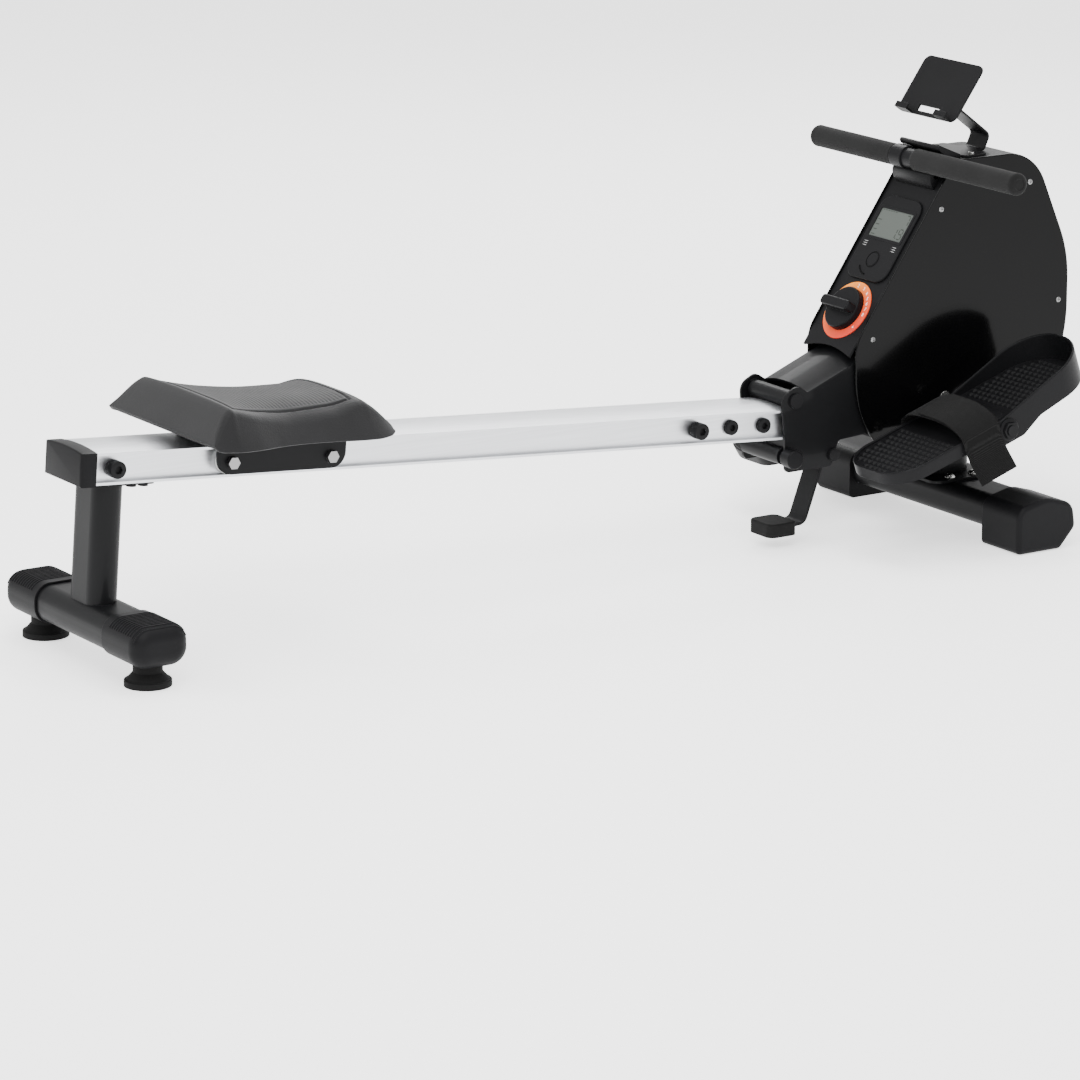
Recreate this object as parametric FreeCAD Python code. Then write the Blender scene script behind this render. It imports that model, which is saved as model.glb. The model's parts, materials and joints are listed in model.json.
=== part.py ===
import FreeCAD, Part
import math
import os

V = FreeCAD.Vector

# Folding magnetic rowing machine. Millimetres, +X towards the flywheel housing, +Z up,
# floor at z = 0, +Y to the rower's left when the rower faces the housing.
# Every x below is measured from the layout datum; save() moves the whole machine so that
# its origin lies on the floor in the middle of its length.

# ---------------------------------------------------------------- driving dimensions
sheet_steel = 4.0            # thickness of the frame's steel plates
shell_wall = 3.0             # thickness of the plastic housing
running_gap = 0.05           # radial clearance of a shaft turning in its bore
part_gap = 0.3               # side clearance between pieces that move past each other

# housing
cover_half = 61.0            # outer face of each side cover
nose_x = 344.0               # foremost point of the housing
housing_top = 553.0
housing_bottom = 110.0
housing_rear = -47.0
console_foot = (-41.0, 308.0)
console_head = (128.0, 553.0)
housing_brow_x = 276.0        # the outline's corners, each rounded by the value after it
housing_brow_round = 76.0
nose_high_z = 394.0
nose_high_round = 190.0
nose_low_z = 232.0
nose_low_round = 240.0
belly_front_x = 242.0
belly_front_round = 88.0
belly_rear_x = 17.0
belly_rear_round = 50.0
heel_z = 197.0
heel_round = 160.0
hem_round = 60.0
head_round = 8.0
pillar_rib_reach = 45.0
pillar_rib_thick = 3.0
screw_head = 1.6
screw_depth = 14.0
screw_places = [(104.0, 482.5), (268.0, 507.0), (326.0, 323.0), (-17.0, 302.0), (270.0, 155.0)]
screw_head_r = 4.5
screw_shank_r = 2.0
pillar_r = 6.0

# console, measured up the slope from console_foot
panel_recess = 3.0
dial_u = 35.0
dial_r = 46.5
knob_r = 33.5
knob_height = 11.0
knob_grip_height = 27.0
knob_grip_half = 7.5
knob_stem_r = 4.0
lcd_u = 177.0
lcd_width = 78.0
lcd_height = 48.0
monitor_half = 48.0
monitor_above_lcd = 46.0
monitor_below_lcd = 91.0
button_below_lcd = 58.0
button_r = 11.0

# frame, pivot and lock
frame_inner_half = 50.0      # inner face of the frame's two plates
pivot_x = -150.0
pivot_z = 226.0
pivot_bolt_r = 8.0
pivot_head = 4.0
pivot_tube_r = 13.0
lock_x = -163.0
lock_z = 144.0
lock_pin_r = 5.0
lock_knob_r = 14.0
post_length = 88.0
post_width = 56.0
post_x = 156.0
flange_half_x = 58.0
flange_half_y = 66.0
flange_round = 16.0
flange_bolt_r = 4.0
flange_bolt_head_r = 9.0
flange_bolt_y = 50.0
flange_bolt_rear = 20.0      # behind and ahead of the post's middle
flange_bolt_ahead = 24.0
flange_bolt_length = 18.0
neck_angle = 21.7
neck_foot = (-128.0, 236.0)  # rear end of the neck's side edges
neck_reach = 158.0
neck_rise = 9.0              # how far the neck's cover is domed above its side edges
lever_x = -82.0
lever_z = 138.0
lever_bolt_r = 5.0
lever_half = 19.0
lever_boss_r = 9.0
lever_bolt_head = 5.0
lever_pad_half = 29.0
lever_pad_low = 18.0
lever_pad_high = 38.0
brake_x = 121.0
brake_z = 341.0
brake_pin_r = 4.0

# rail, measured in its own frame: x = 0 at its front end, z = 0 at its underside
rail_tilt = 4.23
rail_front_x = -161.8
rail_front_z = 169.7
rail_length = 1150.0
rail_half = 49.8
rail_side = 43.2
rail_crown = 3.4
rail_wall = 2.6
channel_depth = 9.3
rail_lip = 3.6
rail_edge = 3.6
cap_length = 24.0
cap_wall = 3.0
rail_bolt_z = (rail_lip + rail_side - rail_edge) / 2

# carriage and seat
roller_spacing = 154.2
carriage_front = 748.0       # front edge of the carriage, behind the rail's front end
carriage_length = 200.0
carriage_plate = 4.0
carriage_top = 61.0
carriage_drop = 5.0
roller_width = 8.0
axle_bolt_r = 5.0
axle_head_r = 9.0
axle_head_length = 7.0
carriage_gap = 4.0           # between the rail's edge and the carriage's side plate
carriage_round = 22.0
seat_half = 150.0
# side profile of the seat, from the middle of the carriage and from its top, and its rounds
seat_profile = [(-136, 0), (-156, 16), (-121, 58), (6, 34), (105, 46), (148, 4), (128, -4),
                (101, -4), (101, 0)]
seat_profile_rounds = [4, 8, 12, 120, 16, 8, 6, 0, 0]
# half widths of the seat along its length, and the rounds of its plan
seat_plan = [(-160, seat_half), (-90, seat_half), (10, 118.0), (90, 122.0), (150, 100.0)]
seat_plan_rounds = [30, 60, 60, 40, 30]

# legs
rear_bar_half = 190.0
rear_bar_width = 84.0
rear_bar_bottom = 31.0
rear_bar_top = 88.0
rear_post_back = 1094.0      # where the rear post meets the rail, behind its front end
rear_cap_length = 95.0
foot_spread = 145.0
foot_pad_r = 32.0
foot_neck_r = 20.0
foot_stem_r = 6.0
foot_pad_height = 9.0
foot_cone_height = 10.0
leg_bolt_y = 26.0
leg_bolt_r = 4.0
leg_bolt_head_r = 7.0
leg_bolt_head = 5.0
rear_cap_round = 20.0
front_bar_half = 250.0
front_cap_length = 87.0
front_bar_top = housing_bottom - 40.0

# pedals
axle_x = 100.0
axle_z = 187.0
axle_r = 8.0
axle_nut_r = 13.0
axle_nut_length = 8.0
pedal_centre = 162.0
pedal_half = 72.0
pedal_heel = 202.0
pedal_toe = 178.0
pedal_heel_round = 52.0
pedal_toe_round = 67.0
pedal_plate_low = 9.0        # the plate lies above the axle, and its boss below the plate
pedal_plate_high = 14.0
pedal_wall = 4.0
pedal_boss_r = 12.5
pedal_lip = 1.5              # wall above the plate round the heel
pedal_toe_rim = 39.0         # wall above the plate at the toe
pedal_skirt = 20.0           # how far the wall reaches below the axle's centre
near_pedal_angle = 18.5
far_pedal_angle = 31.5
strap_width = 52.0
strap_thick = 3.0
strap_height = 42.0          # highest point of the strap's middle above the axle
strap_u = -54.0

# handlebar
bar_x = 102.5
bar_z = 547.5
bar_r = 11.0
grip_r = 16.5
grip_left_inner = 45.0
grip_right_inner = 3.0
grip_end_y = 245.5
grip_end_wall = 12.0
collar_r = 17.6
collar_start = 17.5          # the collar runs from here to the left grip
sleeve_r = 15.0
pull_angle = 12.0            # how steeply the handle leaves its cradle

# drive
flywheel_x = 215.0
flywheel_z = 262.0
flywheel_r = 105.0
flywheel_half = 12.0
drum_x = 195.0
drum_z = 450.0
drum_r = 32.0
pulley_r = 70.0
small_pulley_r = 20.0
belt_y = 26.0
belt_width = 10.0
belt_thick = 2.5
shaft_r = 6.0
guide_x = 152.0
guide_z = 526.0
guide_r = 9.0
guide_pin_r = 4.0
strap_tape = 25.0
tape_thick = 2.0

# phone tray
tray_half = 69.0
tray_length = 95.0
tray_thick = 3.0
tray_x = 117.0
tray_z = 611.0
tray_angle = 54.2
tray_hinge_up = 32.0         # hinge, up the tray from its lower edge
tray_screw_x = 172.0
tray_screw_y = 42.0
strip_half = 21.0
strip_thick = 3.0


# ---------------------------------------------------------------- helpers
def flat(a, b, plane):
    if plane == "xz":
        return V(a, 0, b)
    if plane == "yz":
        return V(0, a, b)
    return V(a, b, 0)


def rounded_wire(corners, radii, plane="xz"):
    """Closed wire through the corners, each rounded by its radius (0 leaves it sharp)."""
    count = len(corners)
    starts = []
    mids = []
    ends = []
    for i in range(count):
        corner = flat(corners[i][0], corners[i][1], plane)
        before = flat(corners[i - 1][0], corners[i - 1][1], plane) - corner
        after = flat(corners[(i + 1) % count][0], corners[(i + 1) % count][1], plane) - corner
        before.normalize()
        after.normalize()
        half = before.getAngle(after) / 2.0
        if radii[i] <= 0 or half > math.pi / 2 - 0.001:
            starts.append(corner)
            mids.append(None)
            ends.append(corner)
            continue
        reach = radii[i] / math.tan(half)
        middle = before + after
        middle.normalize()
        starts.append(corner + before * reach)
        mids.append(corner + middle * (radii[i] / math.sin(half) - radii[i]))
        ends.append(corner + after * reach)
    edges = []
    for i in range(count):
        if mids[i] is not None:
            edges.append(Part.Arc(starts[i], mids[i], ends[i]).toShape())
        after = starts[(i + 1) % count]
        if (after - ends[i]).Length > 0.0001:
            edges.append(Part.makeLine(ends[i], after))
    return Part.Wire(edges)


def slab(corners, radii, low, high, plane="xz"):
    """A flat outline given thickness from low to high along the plane's normal."""
    normal = {"xz": V(0, 1, 0), "yz": V(1, 0, 0), "xy": V(0, 0, 1)}[plane]
    if not isinstance(radii, list):
        radii = [radii] * len(corners)
    face = Part.Face(rounded_wire(corners, radii, plane))
    face.translate(normal * low)
    return face.extrude(normal * (high - low))


def block(x0, x1, y0, y1, z0, z1):
    return Part.makeBox(x1 - x0, y1 - y0, z1 - z0, V(x0, y0, z0))


def rectangle(a0, a1, b0, b1):
    return [(a0, b0), (a1, b0), (a1, b1), (a0, b1)]


def cross_rod(x, z, radius, y0, y1):
    """A cylinder lying across the machine, along Y."""
    return Part.makeCylinder(radius, y1 - y0, V(x, y0, z), V(0, 1, 0))


def upright(x, y, radius, z0, z1):
    return Part.makeCylinder(radius, z1 - z0, V(x, y, z0))


def fuse(shapes):
    joined = shapes[0]
    for other in shapes[1:]:
        joined = joined.fuse(other)
    return joined.removeSplitter()


def mirror(shape):
    return shape.mirror(V(0, 0, 0), V(0, 1, 0))


def both(shape):
    return [shape, mirror(shape)]


def placed(shape, angle, x, z):
    """Turn a shape from its own frame by angle about Y and carry it to (x, z)."""
    moved = shape.copy()
    moved.rotate(V(0, 0, 0), V(0, 1, 0), angle)
    moved.translate(V(x, 0, z))
    return moved


def on_rail(shape):
    return placed(shape, rail_tilt, rail_front_x, rail_front_z)


def rail_point(x, z):
    """Layout position of a point given in the rail's own frame."""
    tilt = math.radians(rail_tilt)
    along = x * math.cos(tilt) + z * math.sin(tilt)
    rise = -x * math.sin(tilt) + z * math.cos(tilt)
    return rail_front_x + along, rail_front_z + rise


console_run = console_head[0] - console_foot[0]
console_rise = console_head[1] - console_foot[1]
console_angle = math.degrees(math.atan2(console_rise, console_run))
console_length = math.hypot(console_run, console_rise)


def on_console(shape):
    return placed(shape, -console_angle, console_foot[0], console_foot[1])


def console_point(u, w):
    """Layout position of a point u up the console and w out of it."""
    slope = math.radians(console_angle)
    x = console_foot[0] + u * math.cos(slope) - w * math.sin(slope)
    z = console_foot[1] + u * math.sin(slope) + w * math.cos(slope)
    return x, z


def strip(path, radii, thick, y0, y1):
    """A bent flat bar: the path is its middle line, the radii are those of its bends."""
    count = len(path)
    sides = []
    for side in (1.0, -1.0):
        corners = []
        rounds = []
        for i in range(count):
            here = V(path[i][0], 0, path[i][1])
            before = V(path[max(i - 1, 0)][0], 0, path[max(i - 1, 0)][1])
            after = V(path[min(i + 1, count - 1)][0], 0, path[min(i + 1, count - 1)][1])
            if i == 0:
                arriving = after - here
            else:
                arriving = here - before
            if i == count - 1:
                leaving = here - before
            else:
                leaving = after - here
            arriving.normalize()
            leaving.normalize()
            left_in = V(-arriving.z, 0, arriving.x)
            left_out = V(-leaving.z, 0, leaving.x)
            miter = left_in + left_out
            miter.normalize()
            stretch = 1.0 / miter.dot(left_in)
            point = here + miter * (side * stretch * thick / 2)
            turn = arriving.x * leaving.z - arriving.z * leaving.x
            corners.append((point.x, point.z))
            if 0 < i < count - 1:
                inward = 1.0 if turn * side > 0 else -1.0
                rounds.append(max(radii[i - 1] - inward * thick / 2, 0.2))
            else:
                rounds.append(0.0)
        sides.append((corners, rounds))
    corners = sides[0][0] + sides[1][0][::-1]
    rounds = sides[0][1] + sides[1][1][::-1]
    return slab(corners, rounds, y0, y1)


def hull_plate(circles, y0, y1):
    """A plate with rounded ends: two circles (x, z, r) and the web between them."""
    (ax, az, ar), (bx, bz, br) = circles
    span = math.hypot(bx - ax, bz - az)
    ux = (bx - ax) / span
    uz = (bz - az) / span
    web = [(ax - uz * ar, az + ux * ar), (bx - uz * br, bz + ux * br),
           (bx + uz * br, bz - ux * br), (ax + uz * ar, az - ux * ar)]
    pieces = [slab(web, 0, y0, y1), cross_rod(ax, az, ar, y0, y1), cross_rod(bx, bz, br, y0, y1)]
    return fuse(pieces)


# ---------------------------------------------------------------- length and origin
rail_end = rail_point(-rail_length, 0.0)
rear_bar_x = rail_point(-rear_post_back, -(rail_front_z - rear_bar_bottom))[0]
rearmost = min(rail_end[0], rear_bar_x - rear_bar_width / 2)
origin_x = (rearmost + nose_x) / 2
print("origin_x", round(origin_x, 3))


def save(name, shapes):
    """Write one sub-part; a list of separate solids becomes one group."""
    if not isinstance(shapes, list):
        shapes = [shapes]
    moved = []
    for shape in shapes:
        copy = shape.copy()
        copy.translate(V(-origin_x, 0, 0))
        moved.append(copy)
    whole = moved[0] if len(moved) == 1 else Part.makeCompound(moved)
    whole.exportStep("parts/" + name + ".step")
    print(name, len(whole.Solids), whole.isValid(), round(whole.Volume / 1000, 1))


# ---------------------------------------------------------------- housing
def housing_outline(inset):
    """Side outline of the housing as a slab outline, shrunk by inset."""
    top = housing_top - inset
    low = housing_bottom + inset
    front = nose_x - inset
    rear = housing_rear + inset
    slope = math.radians(console_angle)
    shift = inset / math.sin(slope)
    foot_z = console_foot[1] + (rear - shift - console_foot[0]) * math.tan(slope)
    head_x = console_head[0] + shift - inset / math.tan(slope)
    corners = [(head_x, top), (housing_brow_x - inset * 0.7, top), (front, nose_high_z),
               (front, nose_low_z), (belly_front_x, low), (belly_rear_x, low), (rear, heel_z),
               (rear, foot_z)]
    radii = [head_round, housing_brow_round - inset, nose_high_round, nose_low_round - inset,
             belly_front_round - inset, belly_rear_round - inset, heel_round - inset,
             hem_round - inset]
    return corners, radii


def side_covers():
    corners, radii = housing_outline(0.0)
    cover = slab(corners, radii, cover_half - shell_wall, cover_half)
    edges = [edge for edge in cover.Edges if edge.BoundBox.YMin > cover_half - 0.01]
    cover = cover.makeFillet(shell_wall * 0.6, edges)
    cuts = [cross_rod(axle_x, axle_z, axle_r + 1.0, 0, cover_half + 1)]
    for x, z in screw_places:
        cuts.append(cross_rod(x, z, screw_shank_r, 0, cover_half + 1))
    cover = cover.cut(cuts)
    save("side_cover_left", cover)
    save("side_cover_right", mirror(cover))


def cover_screws():
    screws = []
    for x, z in screw_places:
        head = cross_rod(x, z, screw_head_r, cover_half, cover_half + screw_head)
        rims = [edge for edge in head.Edges if edge.BoundBox.YMin > cover_half + screw_head - 0.1]
        head = head.makeFillet(1.0, rims)
        shank = cross_rod(x, z, screw_shank_r, cover_half - screw_depth, cover_half)
        screws.extend(both(fuse([head, shank])))
    save("cover_screws", screws)


def neck_hole():
    """The opening through which the frame's neck enters the housing, arched over the neck."""
    top = neck_top_z(housing_rear)
    opening = block(housing_rear - 5, housing_rear + 30, -cover_half, cover_half, 150, top)
    return opening.fuse(neck_dome(2.0, 0))


def housing_shell():
    inner_face = cover_half - shell_wall
    corners, radii = housing_outline(0.0)
    solid = slab(corners, radii, -inner_face, inner_face)
    corners, radii = housing_outline(shell_wall)
    shell = solid.cut(slab(corners, radii, -inner_face - 1, inner_face + 1))
    pillars = []
    for x, z in screw_places:
        pillars.append(cross_rod(x, z, pillar_r, -inner_face, inner_face))
        pillars.append(pillar_rib(x, z, inner_face).common(solid))
    shell = fuse([shell] + pillars)
    plate = frame_plate()
    recess = on_console(block(-26, console_length - 16, -inner_face - 1, inner_face + 1, -9, 20))
    holes = [recess, neck_hole(), strap_slot(), cradle_solid(), post_solid(-10, 20)]
    holes.extend([plate, mirror(plate)])
    for x, z in screw_places:
        holes.append(cross_rod(x, z, screw_shank_r, -inner_face - 1, inner_face + 1))
    shell = shell.cut(holes)
    solids = sorted(shell.Solids, key=lambda s: -s.Volume)
    save("housing_shell", solids[0])


def pillar_rib(x, z, inner_face):
    """The rib that ties a screw pillar to the nearest wall of the housing."""
    middle_x = (housing_rear + nose_x) / 2
    middle_z = (housing_top + housing_bottom) / 2
    dx = x - middle_x
    dz = z - middle_z
    size = math.hypot(dx, dz)
    half = pillar_rib_thick / 2
    bar = block(0, pillar_rib_reach, -inner_face, inner_face, -half, half)
    return placed(bar, -math.degrees(math.atan2(dz / size, dx / size)), x, z)


def post_solid(low, high, grow=0.5):
    """The oval front post between two heights, given from the housing's bottom."""
    half_x = post_length / 2 + grow
    half_y = post_width / 2 + grow
    corners = rectangle(post_x - half_x, post_x + half_x, -half_y, half_y)
    return slab(corners, half_y - 0.5, housing_bottom + low, housing_bottom + high, "xy")


# ---------------------------------------------------------------- frame
def neck_top_z(x):
    """Height of the neck's top plate, which rises towards the housing."""
    return neck_foot[1] + (x - neck_foot[0]) * math.tan(math.radians(neck_angle))


def neck_dome(grow, thick):
    """Arched plate over the neck, its edges on the two side plates; a solid bar when thick is 0."""
    outer = frame_inner_half + sheet_steel + grow
    radius = (outer ** 2 + neck_rise ** 2) / (2 * neck_rise)
    middle = V(0, 0, neck_rise - radius)
    along = V(1, 0, 0)
    dome = Part.makeCylinder(radius + grow, neck_reach, middle, along)
    if thick:
        dome = dome.cut(Part.makeCylinder(radius - thick, neck_reach + 2, middle - along, along))
    dome = dome.common(block(0, neck_reach, -outer, outer, -sheet_steel, neck_rise + grow))
    return placed(dome, -neck_angle, neck_foot[0], neck_foot[1])


def frame_plate():
    cheek = [(pivot_x - 24, pivot_z + 8), (-168.0, 176.0), (-167.0, 121.0), (-84.0, 121.0),
             (-72.0, 158.0), (-10.0, 162.0), (40.0, 150.0), (92.0, housing_bottom + shell_wall),
             (200.0, housing_bottom + shell_wall), (285.0, 200.0), (248.0, 330.0),
             (236.0, 500.0), (168.0, 545.0), (139.0, 540.0), (135.0, 450.0), (60.0, 330.0),
             (-20.0, neck_top_z(-20.0)), (-128.0, neck_top_z(-128.0)),
             (pivot_x + 4, pivot_z + 22)]
    radii = [20, 6, 8, 8, 6, 20, 10, 4, 20, 30, 40, 30, 6, 6, 30, 60, 10, 6, 14]
    plate = slab(cheek, radii, frame_inner_half, frame_inner_half + sheet_steel)
    holes = [cross_rod(x, z, pillar_r + 0.5, 0, cover_half) for x, z in screw_places]
    return plate.cut(holes)


def main_frame():
    inner = frame_inner_half
    outer = inner + sheet_steel
    plate = frame_plate()
    top = neck_dome(0.0, sheet_steel)
    low = block(-60.0, 60.0, -inner, inner, 160.0, 160.0 + sheet_steel)
    front_wall = block(-84.0, -84.0 + sheet_steel, -inner, inner, 150.0, 176.0)
    floor_z = housing_bottom + shell_wall
    seat = block(98.0, 200.0, -outer, outer, floor_z, floor_z + sheet_steel)
    post = post_solid(-40 + sheet_steel, shell_wall, 0.0)
    post = post.cut(post_solid(-41, shell_wall + 1, -sheet_steel))
    flange_low = front_bar_top
    corners = rectangle(post_x - flange_half_x, post_x + flange_half_x, -flange_half_y, flange_half_y)
    flange = slab(corners, flange_round, flange_low, flange_low + sheet_steel, "xy")
    ties = [cross_rod(60.0, 200.0, 8.0, -inner, inner), cross_rod(222.0, 376.0, 6.0, -inner, inner)]
    frame = fuse([plate, mirror(plate), top, low, front_wall, seat, post, flange] + ties)
    cuts = [cross_rod(pivot_x, pivot_z, pivot_bolt_r, -outer - 1, outer + 1),
            cross_rod(lock_x, lock_z, lock_pin_r + running_gap, -outer - 1, 0),
            cross_rod(axle_x, axle_z, axle_r, -outer - 1, outer + 1),
            cross_rod(flywheel_x, flywheel_z, shaft_r, -outer - 1, outer + 1),
            cross_rod(drum_x, drum_z, shaft_r, -outer - 1, outer + 1),
            cross_rod(guide_x, guide_z, guide_pin_r, -outer - 1, outer + 1),
            cross_rod(lever_x, lever_z, lever_bolt_r, -outer - 1, outer + 1),
            cross_rod(brake_x, brake_z, brake_pin_r, -outer - 1, outer + 1)]
    for x, y in post_bolt_places():
        cuts.append(upright(x, y, flange_bolt_r, flange_low - 1, flange_low + sheet_steel + 1))
    save("main_frame", frame.cut(cuts))


def post_bolt_places():
    places = []
    for y in (flange_bolt_y, -flange_bolt_y):
        places.append((post_x - flange_bolt_rear, y))
        places.append((post_x + flange_bolt_ahead, y))
    return places


def post_bolts():
    bolts = []
    top = front_bar_top + sheet_steel
    for x, y in post_bolt_places():
        wide = flange_bolt_head_r
        head = Part.makeSphere(wide, V(x, y, top - 3.5))
        head = head.common(block(x - wide, x + wide, y - wide, y + wide, top, top + wide))
        shank = upright(x, y, flange_bolt_r, top - flange_bolt_length, top)
        bolts.append(fuse([head, shank]))
    save("front_post_bolts", bolts)


def front_bar_outline():
    return rectangle(post_x - 40, post_x + 46, 20.0, front_bar_top)


def front_stabiliser():
    length = front_bar_half - 40
    tube = slab(front_bar_outline(), 20, -length, length)
    hollow = slab(rectangle(post_x - 37, post_x + 43, 23.0, front_bar_top - 3), 17,
                  -length - 1, length + 1)
    holes = [upright(x, y, flange_bolt_r, front_bar_top - 10, front_bar_top + 1)
             for x, y in post_bolt_places()]
    save("front_stabiliser_tube", tube.cut([hollow] + holes))
    corners = [(post_x - 46, 0.0), (post_x + 33, 0.0), (post_x + 61, 30.0), (post_x + 56, 66.0),
               (post_x + 8, 80.0), (post_x - 46, 68.0)]
    cap = slab(corners, [8, 8, 14, 22, 40, 20], front_bar_half - front_cap_length, front_bar_half)
    rims = [edge for edge in cap.Edges if edge.BoundBox.YMin > front_bar_half - 0.01]
    cap = cap.makeFillet(7.0, rims)
    pocket = slab(front_bar_outline(), 20, front_bar_half - front_cap_length - 1, length)
    save("front_end_caps", both(cap.cut(pocket)))


def pivot_and_lock():
    outer = frame_inner_half + sheet_steel
    bolt = [cross_rod(pivot_x, pivot_z, pivot_bolt_r, -outer - 2, outer + 2)]
    for side in (1, -1):
        low = min(side * outer, side * (outer + pivot_head))
        bolt.append(cross_rod(pivot_x, pivot_z, pivot_bolt_r + 3, low, low + pivot_head))
    save("pivot_bolt", fuse(bolt))
    tip = -(frame_inner_half + 0.2)
    pin = cross_rod(lock_x, lock_z, lock_pin_r, -outer - 6, tip)
    knob = cross_rod(lock_x, lock_z, lock_knob_r, -outer - 22, -outer - 0.5)
    rims = [edge for edge in knob.Edges if edge.BoundBox.YMax < -outer - 20]
    save("lock_pin", fuse([pin, knob.makeFillet(3.0, rims)]))


def foot_lever():
    bend_x = lever_x - 24
    path = [(lever_x, lever_z), (lever_x + 6, lever_z - 26), (bend_x, 31.0), (bend_x - 62, 27.0)]
    bar = strip(path, [20.0, 14.0], sheet_steel, -lever_half, lever_half)
    eye = cross_rod(lever_x, lever_z, lever_boss_r, -lever_half, lever_half)
    bore = cross_rod(lever_x, lever_z, lever_bolt_r + running_gap, -60, 60)
    lever = fuse([bar, eye]).cut(bore)
    pad_corners = rectangle(bend_x - 68, bend_x - 18, -lever_pad_half, lever_pad_half)
    pad = slab(pad_corners, 12, lever_pad_low, lever_pad_high, "xy")
    rims = [edge for edge in pad.Edges if edge.BoundBox.ZMin > lever_pad_high - 0.1]
    pad = pad.makeFillet(3.0, rims)
    save("lock_lever", lever)
    save("lever_pad", pad.cut(lever))
    outer = frame_inner_half + sheet_steel
    bolt = cross_rod(lever_x, lever_z, lever_bolt_r, -outer - 1, outer + 1)
    head_end = outer + lever_bolt_head
    heads = [cross_rod(lever_x, lever_z, lever_boss_r, outer, head_end),
             cross_rod(lever_x, lever_z, lever_boss_r, -head_end, -outer)]
    near = lever_half + part_gap
    spacers = [cross_rod(lever_x, lever_z, lever_boss_r, near, frame_inner_half),
               cross_rod(lever_x, lever_z, lever_boss_r, -frame_inner_half, -near)]
    save("lever_bolt", fuse([bolt] + heads + spacers))


# ---------------------------------------------------------------- console
def console_panel():
    inner_face = cover_half - shell_wall
    low = -panel_recess - shell_wall
    panel = block(-16, console_length - 17, -inner_face, inner_face, low, -panel_recess)
    stem_hole = Part.makeCylinder(knob_stem_r + running_gap, 40, V(dial_u, 0, -20))
    pocket = monitor_outline(0.0, low - 1, 1)
    panel = on_console(panel.cut([stem_hole, pocket]))
    slot = strap_slot()
    save("console_panel", panel.cut([slot]))


def strap_slot():
    """The way of the pull strap through the console and the cradle."""
    half = strap_tape / 2 + 3
    return block(bar_x, guide_x - 6, -half, half, bar_z - 14, bar_z + 4)


def monitor_outline(grow, low, high):
    bottom = lcd_u - monitor_below_lcd - grow
    top = lcd_u + monitor_above_lcd + grow
    half = monitor_half + grow
    return slab(rectangle(bottom, top, -half, half), 22.0, low, high, "xy")


def monitor():
    low = -panel_recess - shell_wall - 6
    body = monitor_outline(0.0, low, 1.0)
    rims = [edge for edge in body.Edges if edge.BoundBox.ZMin > 0.9]
    body = body.makeFillet(2.0, rims)
    window = slab(rectangle(lcd_u - lcd_height / 2, lcd_u + lcd_height / 2, -lcd_width / 2,
                            lcd_width / 2), 2.0, -2.0, 5, "xy")
    button_u = lcd_u - button_below_lcd
    well = Part.makeCylinder(button_r + part_gap, 12, V(button_u, 0, -5))
    save("monitor_body", on_console(body.cut([window, well])))
    glass = slab(rectangle(lcd_u - lcd_height / 2, lcd_u + lcd_height / 2, -lcd_width / 2,
                           lcd_width / 2), 2.0, -2.0, 0.4, "xy")
    save("lcd_glass", on_console(glass))
    button = Part.makeCylinder(button_r, 4.5, V(button_u, 0, -3))
    rims = [edge for edge in button.Edges if edge.BoundBox.ZMin > 1.4]
    save("monitor_button", on_console(button.makeFillet(1.0, rims)))


def dial():
    base = -panel_recess
    ring = Part.makeCylinder(dial_r, 2.0, V(dial_u, 0, base))
    ring = ring.cut(Part.makeCylinder(knob_stem_r + 2, 10, V(dial_u, 0, base - 2)))
    rims = [edge for edge in ring.Edges if edge.BoundBox.ZMin > base + 1.9 and edge.Length > 100]
    save("dial_ring", on_console(ring.makeFillet(0.8, rims)))
    low = base + 2.0 + part_gap
    knob = Part.makeCylinder(knob_r, knob_height - low, V(dial_u, 0, low))
    rims = [edge for edge in knob.Edges if edge.BoundBox.ZMin > knob_height - 0.1]
    knob = knob.makeFillet(3.0, rims)
    grip = slab(rectangle(dial_u - knob_grip_half, dial_u + knob_grip_half, -knob_r + 1,
                          knob_r - 1), 5.0, low, knob_grip_height, "xy")
    rims = [edge for edge in grip.Edges if edge.BoundBox.ZMin > knob_grip_height - 0.1]
    grip = grip.makeFillet(2.5, rims)
    stem = Part.makeCylinder(knob_stem_r, 20, V(dial_u, 0, low - 18))
    collar = Part.makeCylinder(knob_stem_r + 5, 5, V(dial_u, 0, low - 18))
    save("tension_knob", on_console(fuse([knob, grip, stem, collar])))


def cradle_solid():
    """Lips below and above the resting handlebar, joined by a plate behind it."""
    bar_u = (bar_x - console_foot[0]) * math.cos(math.radians(console_angle))
    bar_u += (bar_z - console_foot[1]) * math.sin(math.radians(console_angle))
    head = console_length
    profile = [(bar_u - 46, -panel_recess), (bar_u - 42, 8.0), (bar_u - 37, 15.0), (bar_u - 28, 17.0),
               (bar_u - 19, 8.0), (bar_u - 15, 0.0), (head - 1, 0.0), (head, 22.0),
               (head + 3.5, 27.0), (head + 8, 24.0), (head + 15.5, -13.6), (head + 11.4, -16.5),
               (head - 2.6, -panel_recess)]
    return on_console(slab(profile, [0, 3, 3, 4, 5, 3, 0, 1, 2, 3, 2, 0, 0], -48.0, 48.0))


def cradle():
    save("handle_cradle", cradle_solid().cut(strap_slot()))


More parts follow.
